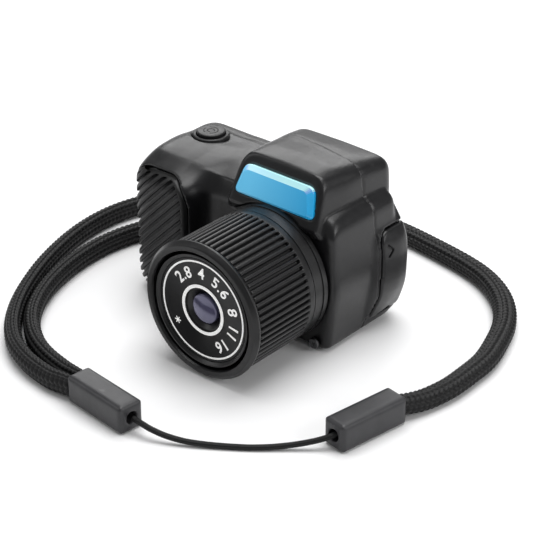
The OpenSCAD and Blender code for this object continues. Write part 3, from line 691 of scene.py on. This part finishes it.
def surface(field, low, step):
    """Mesh of a field's zero surface: a point in each cell that it crosses and a quad round each
    grid edge that it crosses."""
    strides = np.array([field.shape[1] * field.shape[2], field.shape[2], 1])
    cells, places, quads = [], [], []
    for axis in range(3):
        one, two = (axis + 1) % 3, (axis + 2) % 3
        start = np.take(field, range(field.shape[axis] - 1), axis)
        end = np.take(field, range(1, field.shape[axis]), axis)
        spots = np.argwhere((start < 0) != (end < 0))
        spots = spots[(spots[:, one] > 0) & (spots[:, two] > 0)]
        before = start[tuple(spots.T)]
        after = end[tuple(spots.T)]
        place = spots.astype(float)
        place[:, axis] += before / (before - after)
        base = spots @ strides
        corners = [base - strides[one] - strides[two], base - strides[two], base, base - strides[one]]
        round_edge = np.stack(corners, 1)
        round_edge[before > 0] = round_edge[before > 0][:, ::-1]
        quads.append(round_edge)
        cells.append(round_edge.ravel())
        places.append(np.repeat(place, 4, axis=0))
    where = np.unique(np.concatenate(cells), return_inverse=True)[1]
    places = np.concatenate(places)
    count = np.bincount(where)
    verts = np.stack([np.bincount(where, places[:, k]) / count for k in range(3)], axis=1)
    return verts * step + np.array(low), where.reshape(-1, 4)


def add_moulded(node, field, low, step, material):
    """A piece from a field, in place of its CAD node."""
    verts, faces = surface(field, low, step)
    mesh = bpy.data.meshes.new(node + "_moulded")
    mesh.from_pydata((verts * MM).tolist(), [], faces.tolist())
    mesh.update()
    add_object(node + "_moulded", mesh, material, nodes[node]["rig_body"], node=node)


def node_grid(node, step):
    """The open axes of a grid a little larger than a CAD node's box."""
    low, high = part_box(node)
    room = 2.5 * step
    axes = [np.arange(lo / MM - room, hi / MM + room, step, dtype=np.float32) for lo, hi in zip(low, high)]
    corner = [axis[0] for axis in axes]
    return (*np.ix_(*axes), corner)


def window_axes(y, z):
    """Depth behind the flash window's face, and height up its slope."""
    dy, dz = y - WINDOW_CENTRE[0], z - WINDOW_CENTRE[1]
    cos, sin = math.cos(WINDOW_LEAN), math.sin(WINDOW_LEAN)
    return dy * cos - dz * sin, dy * sin + dz * cos


def pad_rise(y, z):
    """Height up the leaning plane that the grip pad's outline is drawn on."""
    return y * math.sin(PAD_LEAN) + z * math.cos(PAD_LEAN)


def shutter_cuts(x, y, z):
    """The collar's seat and the bore below it, half in each shell."""
    seat = rod_field(x, y, z, SHUTTER_SPOT, 3.9, COLLAR_SEAT, 40)
    bore = rod_field(x, y, z, SHUTTER_SPOT, 3.3, 26, 40)
    return [(seat, 0.3), (bore, 0.1)]


def add_front_shell(look):
    """The front half, with the window's seat, the pad's seat and the lens's bore and well."""
    step = 0.3
    x, y, z, low = node_grid("front_shell", step)
    outer = outer_field(x, y, z)
    # the wall is thicker under the grip pad
    thick = WALL + 0.9 * np.clip((-16 - x) / 2, 0, 1) * np.clip((-3 - y) / 2, 0, 1)
    shell = np.maximum(outer, -(outer + thick))
    shell = blend_max(shell, seam_field(x, y, z) + SEAM_GAP / 2, 0.12)
    depth, rise = window_axes(y, z)
    pad = opening(PAD_EDGE, x, pad_rise(y, z), 0.06, y + 4.55)
    shell = cut_away(shell, [
        (opening(WINDOW_EDGE, x, rise, 0.05, depth - 0.3), 0.3),
        (opening(WINDOW_EDGE, x, rise, -0.9, depth - 6), 0.1),
        (np.maximum(pad, -(outer + 0.9)), 0.35),
        (rod_field(x, z, y, (0, LENS_Z), 9, -12, -4), 0.1),
        (rod_field(x, z, y, (0, LENS_Z), 13.75, -30, -8.8), 0.3),
        *shutter_cuts(x, y, z),
    ])
    add_moulded("front_shell", shell, low, step, look["shell"])


def add_rear_shell(look):
    """The rear half, with the cover's pocket and the seats of screen, eyepiece, keys and screws."""
    step = 0.3
    x, y, z, low = node_grid("rear_shell", step)
    outer = outer_field(x, y, z)
    behind = seam_field(x, y, z)
    shell = np.maximum(outer, -(outer + WALL))
    # a block stands behind the port cover, and a post round each screw
    back = three_views(BACK_FRONT, BACK_SIDE, BACK_TOP, x, y, z, 2.0)
    liner = np.maximum(box_field(x, y, z, (11.6, 1, 0.7), (19, 13.9, 22.1)), back + 0.5)
    shell = np.minimum(shell, liner)
    for spot in SCREW_SPOTS:
        shell = np.minimum(shell, rod_field(x, z, y, spot, 1.7, 3.5, 12.4))
    shell = blend_max(shell, SEAM_GAP / 2 - behind, 0.12)
    # a tongue just inside the outside closes the seam, and lies shallower on top of the hump
    sunk = np.where(z > 32.5, 0.03, 0.16)
    tongue = np.maximum(outer + sunk, -(outer + sunk + TONGUE))
    shell = np.minimum(shell, np.maximum(tongue, np.abs(behind) - TONGUE))
    pocket = np.maximum(cover_field(x, y, z, 0.3), -(outer + 1.4))
    pocket = np.maximum(pocket, -knuckle_field(x, y, z, SHELL_KNUCKLES, KNUCKLE_R))
    shell = cut_away(shell, [
        (pocket, 0.25),
        (box_field(x, y, z, (12.6, 6.7, 2.4), (19, 11.5, 20.4)), 0.2),
        (knuckle_field(x, y, z, SHELL_ROOM, KNUCKLE_ROOM_R), 0.1),
        (opening(SOCKET_EDGE, y, z, 0.05, np.maximum(7 - x, x - 13.2)), 0.1),
        (opening(SCREEN_EDGE, x, z, 0.05, 13.1 - y), 0.25),
        (opening(SCREEN_EDGE, x, z, -1.2, 11 - y), 0.1),
        (opening(EYEPIECE_EDGE, x, z, 0.05, 12.6 - y), 0.25),
        (opening(EYEPIECE_EDGE, x, z, -1.9, 10 - y), 0.1),
        *shutter_cuts(x, y, z),
        *[(rod_field(x, z, y, spot, 2.1, 11, 16), 0.3) for spot in KEY_SPOTS],
        *[(rod_field(x, z, y, spot, 0.75, 3, 16), 0.1) for spot in SCREW_SPOTS],
        *[(rod_field(x, z, y, spot, 1.35, 10.6, 16), 0.3) for spot in SCREW_SPOTS],
    ])
    add_moulded("rear_shell", shell, low, step, look["shell"])


def add_cover(look):
    """The port cover, with the arrow-head and the fingernail notch cut into it."""
    step = 0.13
    x, y, z, low = node_grid("port_cover", step)
    outer = outer_field(x, y, z)
    cover = blend_max(np.maximum(outer, -(outer + 1.1)), cover_field(x, y, z, 0), 0.5)
    cover = np.minimum(cover, knuckle_field(x, y, z, COVER_KNUCKLES, KNUCKLE_R))
    tip = (7.7, 17.5)
    arrow = np.minimum(bar_field(y, z, (6.6, 18.7), tip, 0.2), bar_field(y, z, tip, (6.6, 16.3), 0.2))
    notch = bar_field(y, z, (5.4, 2.4), (9.2, 3.2), 0.42)
    cover = cut_away(cover, [
        (knuckle_field(x, y, z, COVER_ROOM, KNUCKLE_ROOM_R), 0.1),
        (rod_field(x, y, z, HINGE, HINGE_PIN_R, 0, 25), 0.1),
        (np.maximum(arrow, -(outer + 0.4)), 0.12),
        (np.maximum(notch, -(outer + 0.6)), 0.15),
    ])
    add_moulded("port_cover", cover, low, step, look["shell"])


def bar_field(u, v, start, end, half):
    """A round-ended bar from start to end, right through."""
    du, dv = end[0] - start[0], end[1] - start[1]
    share = np.clip(((u - start[0]) * du + (v - start[1]) * dv) / (du * du + dv * dv), 0, 1)
    return np.hypot(u - start[0] - share * du, v - start[1] - share * dv) - half


def add_grip_pad(look):
    """The rubber pad: slanting ribs inside a plain border."""
    step = 0.12
    x, y, z, low = node_grid("grip_pad", step)
    outer = outer_field(x, y, z)
    rise = pad_rise(y, z)
    pad = blend_max(np.maximum(outer + 0.02, -(outer + 0.85)), outline_field(PAD_EDGE, x, rise), 0.5)
    pad = np.maximum(pad, y + 4.6)
    # the grooves climb at 45 degrees, seen from the front: distance from the nearest one's middle
    turns = (z - x - RIB_START) / RIB_PITCH
    slant = np.abs(np.mod(turns + 0.5, 1) - 0.5) * RIB_PITCH / math.sqrt(2)
    groove = np.maximum(slant - RIB_GROOVE, outline_field(RIB_AREA, x, rise))
    groove = np.maximum(groove, -(outer + 0.5))
    pad = blend_max(pad, -groove, 0.3)
    add_moulded("grip_pad", pad, low, step, look["pad"])


def add_shells(look):
    add_front_shell(look)
    add_rear_shell(look)
    add_cover(look)
    add_grip_pad(look)
    softened("strap_lug", look["shell"], 0.14, 8, 0.6)


def window_ring(proud, left, right, top, bottom, radius):
    """The window's outline, drawn in from its four sides, so far proud of its seat."""
    corners = [
        (left - WINDOW_FOOT, bottom - WINDOW_HALF, radius),
        (WINDOW_FOOT - right, bottom - WINDOW_HALF, radius),
        (WINDOW_HEAD - right, WINDOW_HALF - top, radius * 1.9),
        (left - WINDOW_HEAD, WINDOW_HALF - top, radius * 1.9),
    ]
    cos, sin = math.cos(WINDOW_LEAN), math.sin(WINDOW_LEAN)
    return [
        (u, WINDOW_CENTRE[0] - proud * cos + w * sin, WINDOW_CENTRE[1] + proud * sin + w * cos)
        for u, w in fillet_line(corners + [corners[0]], 6)[:-1]
    ]


def add_window(look):
    """Flash window: a plate with a wide bevel on its top and +X edges and a narrow one elsewhere."""
    rings = [
        window_ring(-0.3, 0, 0, 0, 0, 1.0),
        window_ring(0.45, 0, 0, 0, 0, 1.0),
        window_ring(0.55, 0.06, 0.06, 0.06, 0.06, 1.0),
        window_ring(0.95, 0.45, 0.9, 0.95, 0.35, 0.8),
        window_ring(1.02, 0.55, 1.05, 1.1, 0.45, 0.8),
    ]
    count = len(rings[0])
    verts = [point for ring in rings for point in ring]
    faces = grid_faces(len(rings), count) + end_caps(len(rings), count)
    add_piece("flash_window_bevelled", verts, faces, look["window"], flat=True,
              node="flash_window")


# ---- lens ----

RING_R = 13.6
RING_BORE_R = 12.6
FLUTES = 64
FLUTE_HALF = 0.33
FLUTE_DEPTH = 0.85
FLUTE_STEPS = 16


def add_focus_ring(look):
    """The fluted ring: the flutes open at its front and end round short of its smooth rear band."""
    low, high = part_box("focus_ring")
    front, back = low.y / MM, high.y / MM
    last = back - 1.5
    profile = [(back, RING_BORE_R), (back, RING_R - 0.12), (back - 0.12, RING_R - 0.03)]
    profile += [(back - 0.35, RING_R), (last + 0.1, RING_R)]
    profile += [(last - end, RING_R) for end in (0, 0.04, 0.1, 0.18, 0.28, 0.4)]
    profile += [(y, RING_R) for y in np.linspace(last - 1, front + 0.5, 6)]
    profile += [(front + 0.25, RING_R), (front + 0.08, RING_R - 0.05)]
    profile += [(front, RING_R - 0.2), (front, RING_BORE_R)]
    around = FLUTES * FLUTE_STEPS
    angle = 2 * math.pi * np.arange(around) / around
    across = np.abs(np.mod(np.arange(around) / FLUTE_STEPS, 1) - 0.5) * 2 * math.pi * RING_R / FLUTES
    rib = 0.04 * (1 - np.clip((across - FLUTE_HALF) / 0.34, 0, 1))
    verts = []
    for y, radius in profile:
        over = max(0.0, y - (last - FLUTE_HALF))
        width = math.sqrt(max(0.0, FLUTE_HALF ** 2 - over ** 2))
        r = np.full(around, radius)
        if width > 0 and radius > RING_BORE_R:
            floor = FLUTE_DEPTH * (0.35 + 0.65 * width / FLUTE_HALF)
            r = r - floor * np.clip((width + 0.04 - across) / 0.1, 0, 1) - rib
        x, z = r * np.cos(angle), LENS_Z + r * np.sin(angle)
        verts += np.stack([x, np.full(around, y), z], axis=1).tolist()
    faces = grid_faces(len(profile), around)
    add_piece("focus_ring_fluted", verts, faces, look["lens"], "focus", node="focus_ring")
    return front


def add_bezel(look, ring_front):
    """The ring before the fluted one: a groove behind it, and a rim that falls in towards the dial."""
    low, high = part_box("front_bezel")
    front, outer = low.y / MM, high.x / MM
    profile = [
        (ring_front - 0.02, 12.1, 0), (ring_front - 0.02, outer - 0.75, 0.1),
        (ring_front - 0.3, outer - 0.62, 0.1), (ring_front - 0.45, outer - 0.12, 0.12),
        (front + 0.95, outer, 0.3), (front + 0.12, outer - 0.62, 0.2),
        (front, outer - 0.9, 0.12), (front, outer - 1.75, 0.12), (front + 0.5, outer - 1.95, 0.15),
        (front + 2.6, 12.0, 0),
    ]
    turned("front_bezel_turned", profile, look["lens"], "focus", node="front_bezel")


def flat_ring(name, r_in, r_out, y, thick, material, node=None):
    edge = min(thick, (r_out - r_in) / 2) * 0.5
    profile = [(y, r_out, 0), (y - thick, r_out, edge), (y - thick, r_in, edge), (y, r_in, 0)]
    turned(name, profile, material, "camera", node=node)


# The dial's numbers and its star, with their angles in degrees from +X
DIAL_MARKS = [("2.8", 128), ("4", 92), ("5.6", 55), ("8", 17), ("11", -16), ("16", -52)]
DIAL_MARK_R = 7.55
DIAL_MARK_SIZE = 3.2
DIAL_STAR_ANGLE = math.radians(215)
DIAL_STAR_R = 7.75


def add_dial(look):
    """The dial: a lacquered plate with a raised edge, two white lines, numbers and a star."""
    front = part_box("dial_plate")[0].y / MM
    face = front + 0.06
    turned("dial_plate_lacquered", [
        (front + 1.1, 10.6, 0), (front, 10.6, 0.15), (front, 10.25, 0.05), (face, 10.2, 0),
        (face, 4.6, 0), (front + 0.5, 4.45, 0.05), (front + 1.1, 4.45, 0),
    ], look["dial"], "camera", node="dial_plate")
    flat_ring("dial_outer_line", 9.7, 10.05, face, 0.05, look["white"])
    flat_ring("dial_inner_line", 4.5, 5.15, face, 0.1, look["white"], "dial_inner_ring")
    for text, degrees in DIAL_MARKS:
        add_mark(text, math.radians(degrees), DIAL_MARK_R, face, DIAL_MARK_SIZE, look["white"])
    x, z = DIAL_STAR_R * math.cos(DIAL_STAR_ANGLE), LENS_Z + DIAL_STAR_R * math.sin(DIAL_STAR_ANGLE)
    for k in range(3):
        add_bar(f"dial_star_{k}", x, front + 0.02, z, math.pi * k / 3, 1.5, 0.22, look["white"])


def add_mark(text, angle, radius, y, size, material):
    """Numerals that stand round the dial with their feet towards its centre."""
    data = bpy.data.curves.new("mark", "FONT")
    data.body = text
    data.size = size * MM
    data.align_x = "CENTER"
    data.align_y = "CENTER"
    data.extrude = 0.02 * MM
    data.offset = 0.05 * MM
    data.space_character = 1.12
    mesh = mesh_of(add_to_scene("mark_work", data))
    co = np.zeros(len(mesh.vertices) * 3)
    mesh.vertices.foreach_get("co", co)
    co = co.reshape(-1, 3) / MM
    # bend the word round the dial: its width becomes an arc
    turn = angle - co[:, 0] / radius
    out = radius + co[:, 1]
    placed = np.stack([out * np.cos(turn), y - 0.03 - co[:, 2], LENS_Z + out * np.sin(turn)], axis=1)
    mesh.vertices.foreach_set("co", (placed * MM).ravel())
    tidy_normals(mesh)
    name = "dial_mark_" + text.replace(".", "_")
    add_object(name, mesh, material, "camera", flat=True)


def add_bar(name, x, y, z, turn, length, width, material, depth=0.06, body="camera"):
    """A small rounded bar that lies in an XZ plane."""
    corners = rectangle((-length / 2, -width / 2), (length / 2, width / 2), width * 0.45)
    line = fillet_line(corners + [corners[0]], 4)[:-1]
    verts = []
    for dy in (0, -depth):
        for u, v in line:
            verts.append((x + u * math.cos(turn) - v * math.sin(turn), y + dy,
                          z + u * math.sin(turn) + v * math.cos(turn)))
    faces = grid_faces(2, len(line)) + end_caps(2, len(line))
    return add_piece(name, verts, faces, material, body, flat=True)


def add_lens_front(look):
    """The front glass: a low dome whose rim stands just behind the dial's face."""
    low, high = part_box("front_lens")
    front, back, radius, bulge = low.y / MM - 0.5, high.y / MM, high.x / MM, 0.4
    dome = [(front + bulge * share ** 2, max(radius * share, 0.01), 0) for share in np.linspace(0, 0.96, 13)]
    dome += [(front + bulge + 0.1, radius, 0), (back, radius, 0), (back, 0.01, 0)]
    turned("front_lens_dome", dome, look["coating"], "camera", steps=96, node="front_lens")


# ---- shutter, screws, keys ----

# The arcs of the shutter's symbol: radius, and the angles in degrees along each
SYMBOL_ARCS = [(1.45, range(-60, 150, 10)), (1.45, range(175, 265, 10)), (0.72, range(20, 300, 12))]


def add_shutter(look):
    """The release button on its stem, its collar, and the symbol engraved in its top, whose grooves are dark
    lines of painted shade.
    """
    low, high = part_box("shutter_button")
    centre = ((low.x + high.x) / 2 / MM, (low.y + high.y) / 2 / MM)
    foot, top, radius, stem = low.z / MM, high.z / MM, (high.x - low.x) / 2 / MM, 2.2
    turned("shutter_button_turned", [
        (foot, 0.01, 0), (foot, stem, 0), (COLLAR_SEAT, stem, 0), (COLLAR_SEAT, radius, 0.1),
        (top - 0.1, radius, 0.15), (top, radius - 0.25, 0.15), (top - 0.06, radius - 0.6, 0.1),
        (top - 0.08, 0.01, 0),
    ], look["button"], "shutter", centre, upright=True, steps=96, node="shutter_button")
    low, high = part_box("shutter_collar")
    foot, rim, outer, neck, bore = low.z / MM, high.z / MM, (high.x - low.x) / 2 / MM, 3.25, 3.05
    turned("shutter_collar_turned", [
        (foot, bore, 0), (foot, neck, 0), (COLLAR_SEAT - 0.05, neck, 0), (COLLAR_SEAT, outer, 0.08),
        (rim - 0.1, outer - 0.2, 0.25), (rim, outer - 0.5, 0.15), (rim - 0.08, radius + 0.15, 0.1),
        (COLLAR_SEAT - 0.6, radius + 0.14, 0), (foot, bore, 0),
    ], look["button"], "camera", centre, upright=True, steps=96, node="shutter_collar")
    for i, (r, degrees) in enumerate(SYMBOL_ARCS):
        arc = [math.radians(a) for a in degrees]
        points = [(centre[0] + r * math.cos(a), centre[1] + r * math.sin(a), top - 0.07) for a in arc]
        # Each groove of the symbol is a dark line of painted shade.
        add_groove(f"shutter_symbol_{i}", points, 0.14, look["engraved"], "shutter")


def add_groove(name, points, half, material, body, sides=8):
    """A groove's painted shade: a dark line on an upward face, as a flattened bead that barely shows above
    it.
    """
    verts = []
    up = Vector((0, 0, 1))
    for i, p in enumerate(points):
        here = Vector(p)
        heading = (Vector(points[min(i + 1, len(points) - 1)]) - Vector(points[max(i - 1, 0)])).normalized()
        side = heading.cross(up).normalized()
        for k in range(sides):
            a = 2 * math.pi * k / sides
            verts.append(tuple(here + side * half * math.cos(a) + up * half * 0.25 * math.sin(a)))
    faces = grid_faces(len(points), sides) + end_caps(len(points), sides)
    return add_piece(name, verts, faces, material, body)


def add_cross(name, x, y, z, turn, length, width, depth, material):
    """The cross recess in a screw's head, as two dark bars of painted shade."""
    for k in range(2):
        spun = math.pi / 2 * k + turn
        add_bar(f"{name}_{k}", x, y, z, spun, length, width, material, depth)


def add_screws(look):
    """Round heads with a cross recess, in front under the lens and behind in their wells."""
    low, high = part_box("front_screws")
    y, z, radius, inset = low.y / MM, 1.9, 1.15, 0.85
    for i, x in enumerate((low.x / MM + inset, high.x / MM - inset)):
        head = turned(f"front_screw_{i}", [
            (y + 0.5, 0.01, 0), (y + 0.5, radius, 0), (y + 0.1, radius, 0.1), (y - 0.12, radius * 0.86, 0.08),
            (y - 0.04, radius * 0.7, 0.06), (y - 0.08, 0.01, 0),
        ], look["screw"], "camera", (x, z), steps=40)
        # The cross recess is two dark bars of painted shade.
        add_cross(f"front_screw_slot_{i}", x, y - 0.045, z, 0.5, 1.0, 0.2, 0.05, look["engraved"])
        if i == 0:
            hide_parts("front_screws")
    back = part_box("case_screws")[1].y / MM
    for i, (x, z) in enumerate(SCREW_SPOTS):
        # The cross recess is two dark bars of painted shade.
        add_cross(f"case_screw_slot_{i}", x, back + 0.05, z, 0.3, 1.6, 0.36, 0.07, look["engraved"])


# The strokes of each key's symbol: place from the key's middle in x and z, turn, length
KEY_STROKES = {
    "key_menu": [(0, 0.45, 0, 1.5), (0, 0, 0, 1.5), (0, -0.45, 0, 1.5)],
    "key_play": [(0.15, 0.33, -0.6, 1.2), (0.15, -0.33, 0.6, 1.2), (-0.35, 0, math.pi / 2, 1.35)],
    "key_up": [(-0.38, 0, 0.8, 1.2), (0.38, 0, -0.8, 1.2)],
    "key_down": [(-0.38, 0, -0.8, 1.2), (0.38, 0, 0.8, 1.2)],
}
KEY_R = 1.9
KEY_FLANGE_R = 2.4


def add_keys(look):
    """The round keys behind, each with its symbol in white."""
    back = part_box("key_menu")[1].y / MM
    for node, strokes in KEY_STROKES.items():
        low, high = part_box(node)
        x, z = (low.x + high.x) / 2 / MM, (low.z + high.z) / 2 / MM
        foot, body = low.y / MM, nodes[node]["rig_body"]
        turned(f"{node}_cap", [
            (foot, 0.01, 0), (foot, KEY_FLANGE_R, 0), (foot + 0.5, KEY_FLANGE_R, 0), (foot + 0.5, KEY_R, 0),
            (back, KEY_R, 0.25), (back - 0.08, 0.01, 0),
        ], look["button"], body, (x, z), steps=64, node=node)
        for k, (dx, dz, turn, length) in enumerate(strokes):
            name = f"{node}_stroke_{k}"
            add_bar(name, x + dx, back, z + dz, turn, length, 0.22, look["white"], 0.1, body)


# ---- materials for the CAD pieces that stay ----

KEPT = {
    "lens": ["lens_flange", "lens_tube", "lens_cell", "lens_holder", "eyepiece_frame"],
    "smoke": ["rear_lens", "ir_filter", "eyepiece_glass"],
    "screen": ["screen_window"],
    "led": ["flash_led"],
    "board": ["flash_board", "sensor_board", "switch_board", "main_board", "key_board"],
    "ribbon": ["sensor_ribbon", "screen_ribbon"],
    "chip": ["image_sensor", "board_chips", "memory_card"],
    "metal": ["shutter_switch", "microphone", "usb_socket", "card_socket", "cover_pin", "screen_module"],
    "foil": ["battery"],
    "foam": ["battery_pad"],
    "screw": ["case_screws"],
}


def paint_kept_nodes(look):
    """The inner parts and small pieces keep their CAD shapes."""
    for name, kept in KEPT.items():
        for node in kept:
            slots = nodes[node].data.materials
            if not slots:
                slots.append(look[name])
            for i in range(len(slots)):
                slots[i] = look[name]


# ---- floor and light ----

def add_stage():
    material, tree, shader = new_material("floor_paper")
    white = ramp(tree, noise(tree, 30), (0.93, 0.93, 0.935), (0.95, 0.95, 0.955))
    tree.links.new(white, shader.inputs["Base Color"])
    settle(shader, {"Roughness": 0.7, "Specular IOR Level": 0.2})
    mesh = bpy.data.meshes.new("floor")
    half = 3.0
    corners = [(-half, -half, 0), (half, -half, 0), (half, half, 0), (-half, half, 0)]
    mesh.from_pydata(corners, [], [(0, 1, 2, 3)])
    mesh.materials.append(material)
    floor = add_to_scene("floor", mesh)


def add_light(name, place, aim, size, power):
    """A soft white panel that faces its aim."""
    data = bpy.data.lights.new(name, "AREA")
    data.shape = "RECTANGLE"
    data.size, data.size_y = size
    data.energy = power
    lamp = add_to_scene(name, data)
    lamp.location = place
    lamp.rotation_euler = (Vector(aim) - Vector(place)).to_track_quat("-Z", "Y").to_euler()


def light_studio():
    """A dim white room with a panel above, behind and on either side."""
    world = bpy.data.worlds.new("studio")
    world.use_nodes = True
    background = world.node_tree.nodes["Background"]
    settle(background, {"Color": (1, 1, 1, 1), "Strength": 0.27})
    bpy.context.scene.world = world
    bpy.context.scene.view_settings.view_transform = "Standard"
    middle = (0, 0, 0.015)
    add_light("top_box", (-0.03, 0.1, 0.6), middle, (0.55, 0.45), 3.5)
    add_light("back_box", (-0.36, 0.42, 0.33), middle, (0.45, 0.3), 1.3)
    add_light("right_box", (0.6, 0.15, 0.35), middle, (0.4, 0.3), 1.5)
    add_light("left_box", (-0.5, -0.35, 0.35), middle, (0.2, 0.35), 0.5)


def main():
    add_camera()
    look = make_materials()
    add_strap(look)
    add_shells(look)
    add_window(look)
    ring_front = add_focus_ring(look)
    add_bezel(look, ring_front)
    add_dial(look)
    add_lens_front(look)
    add_shutter(look)
    add_screws(look)
    add_keys(look)
    paint_kept_nodes(look)
    add_stage()
    light_studio()


main()
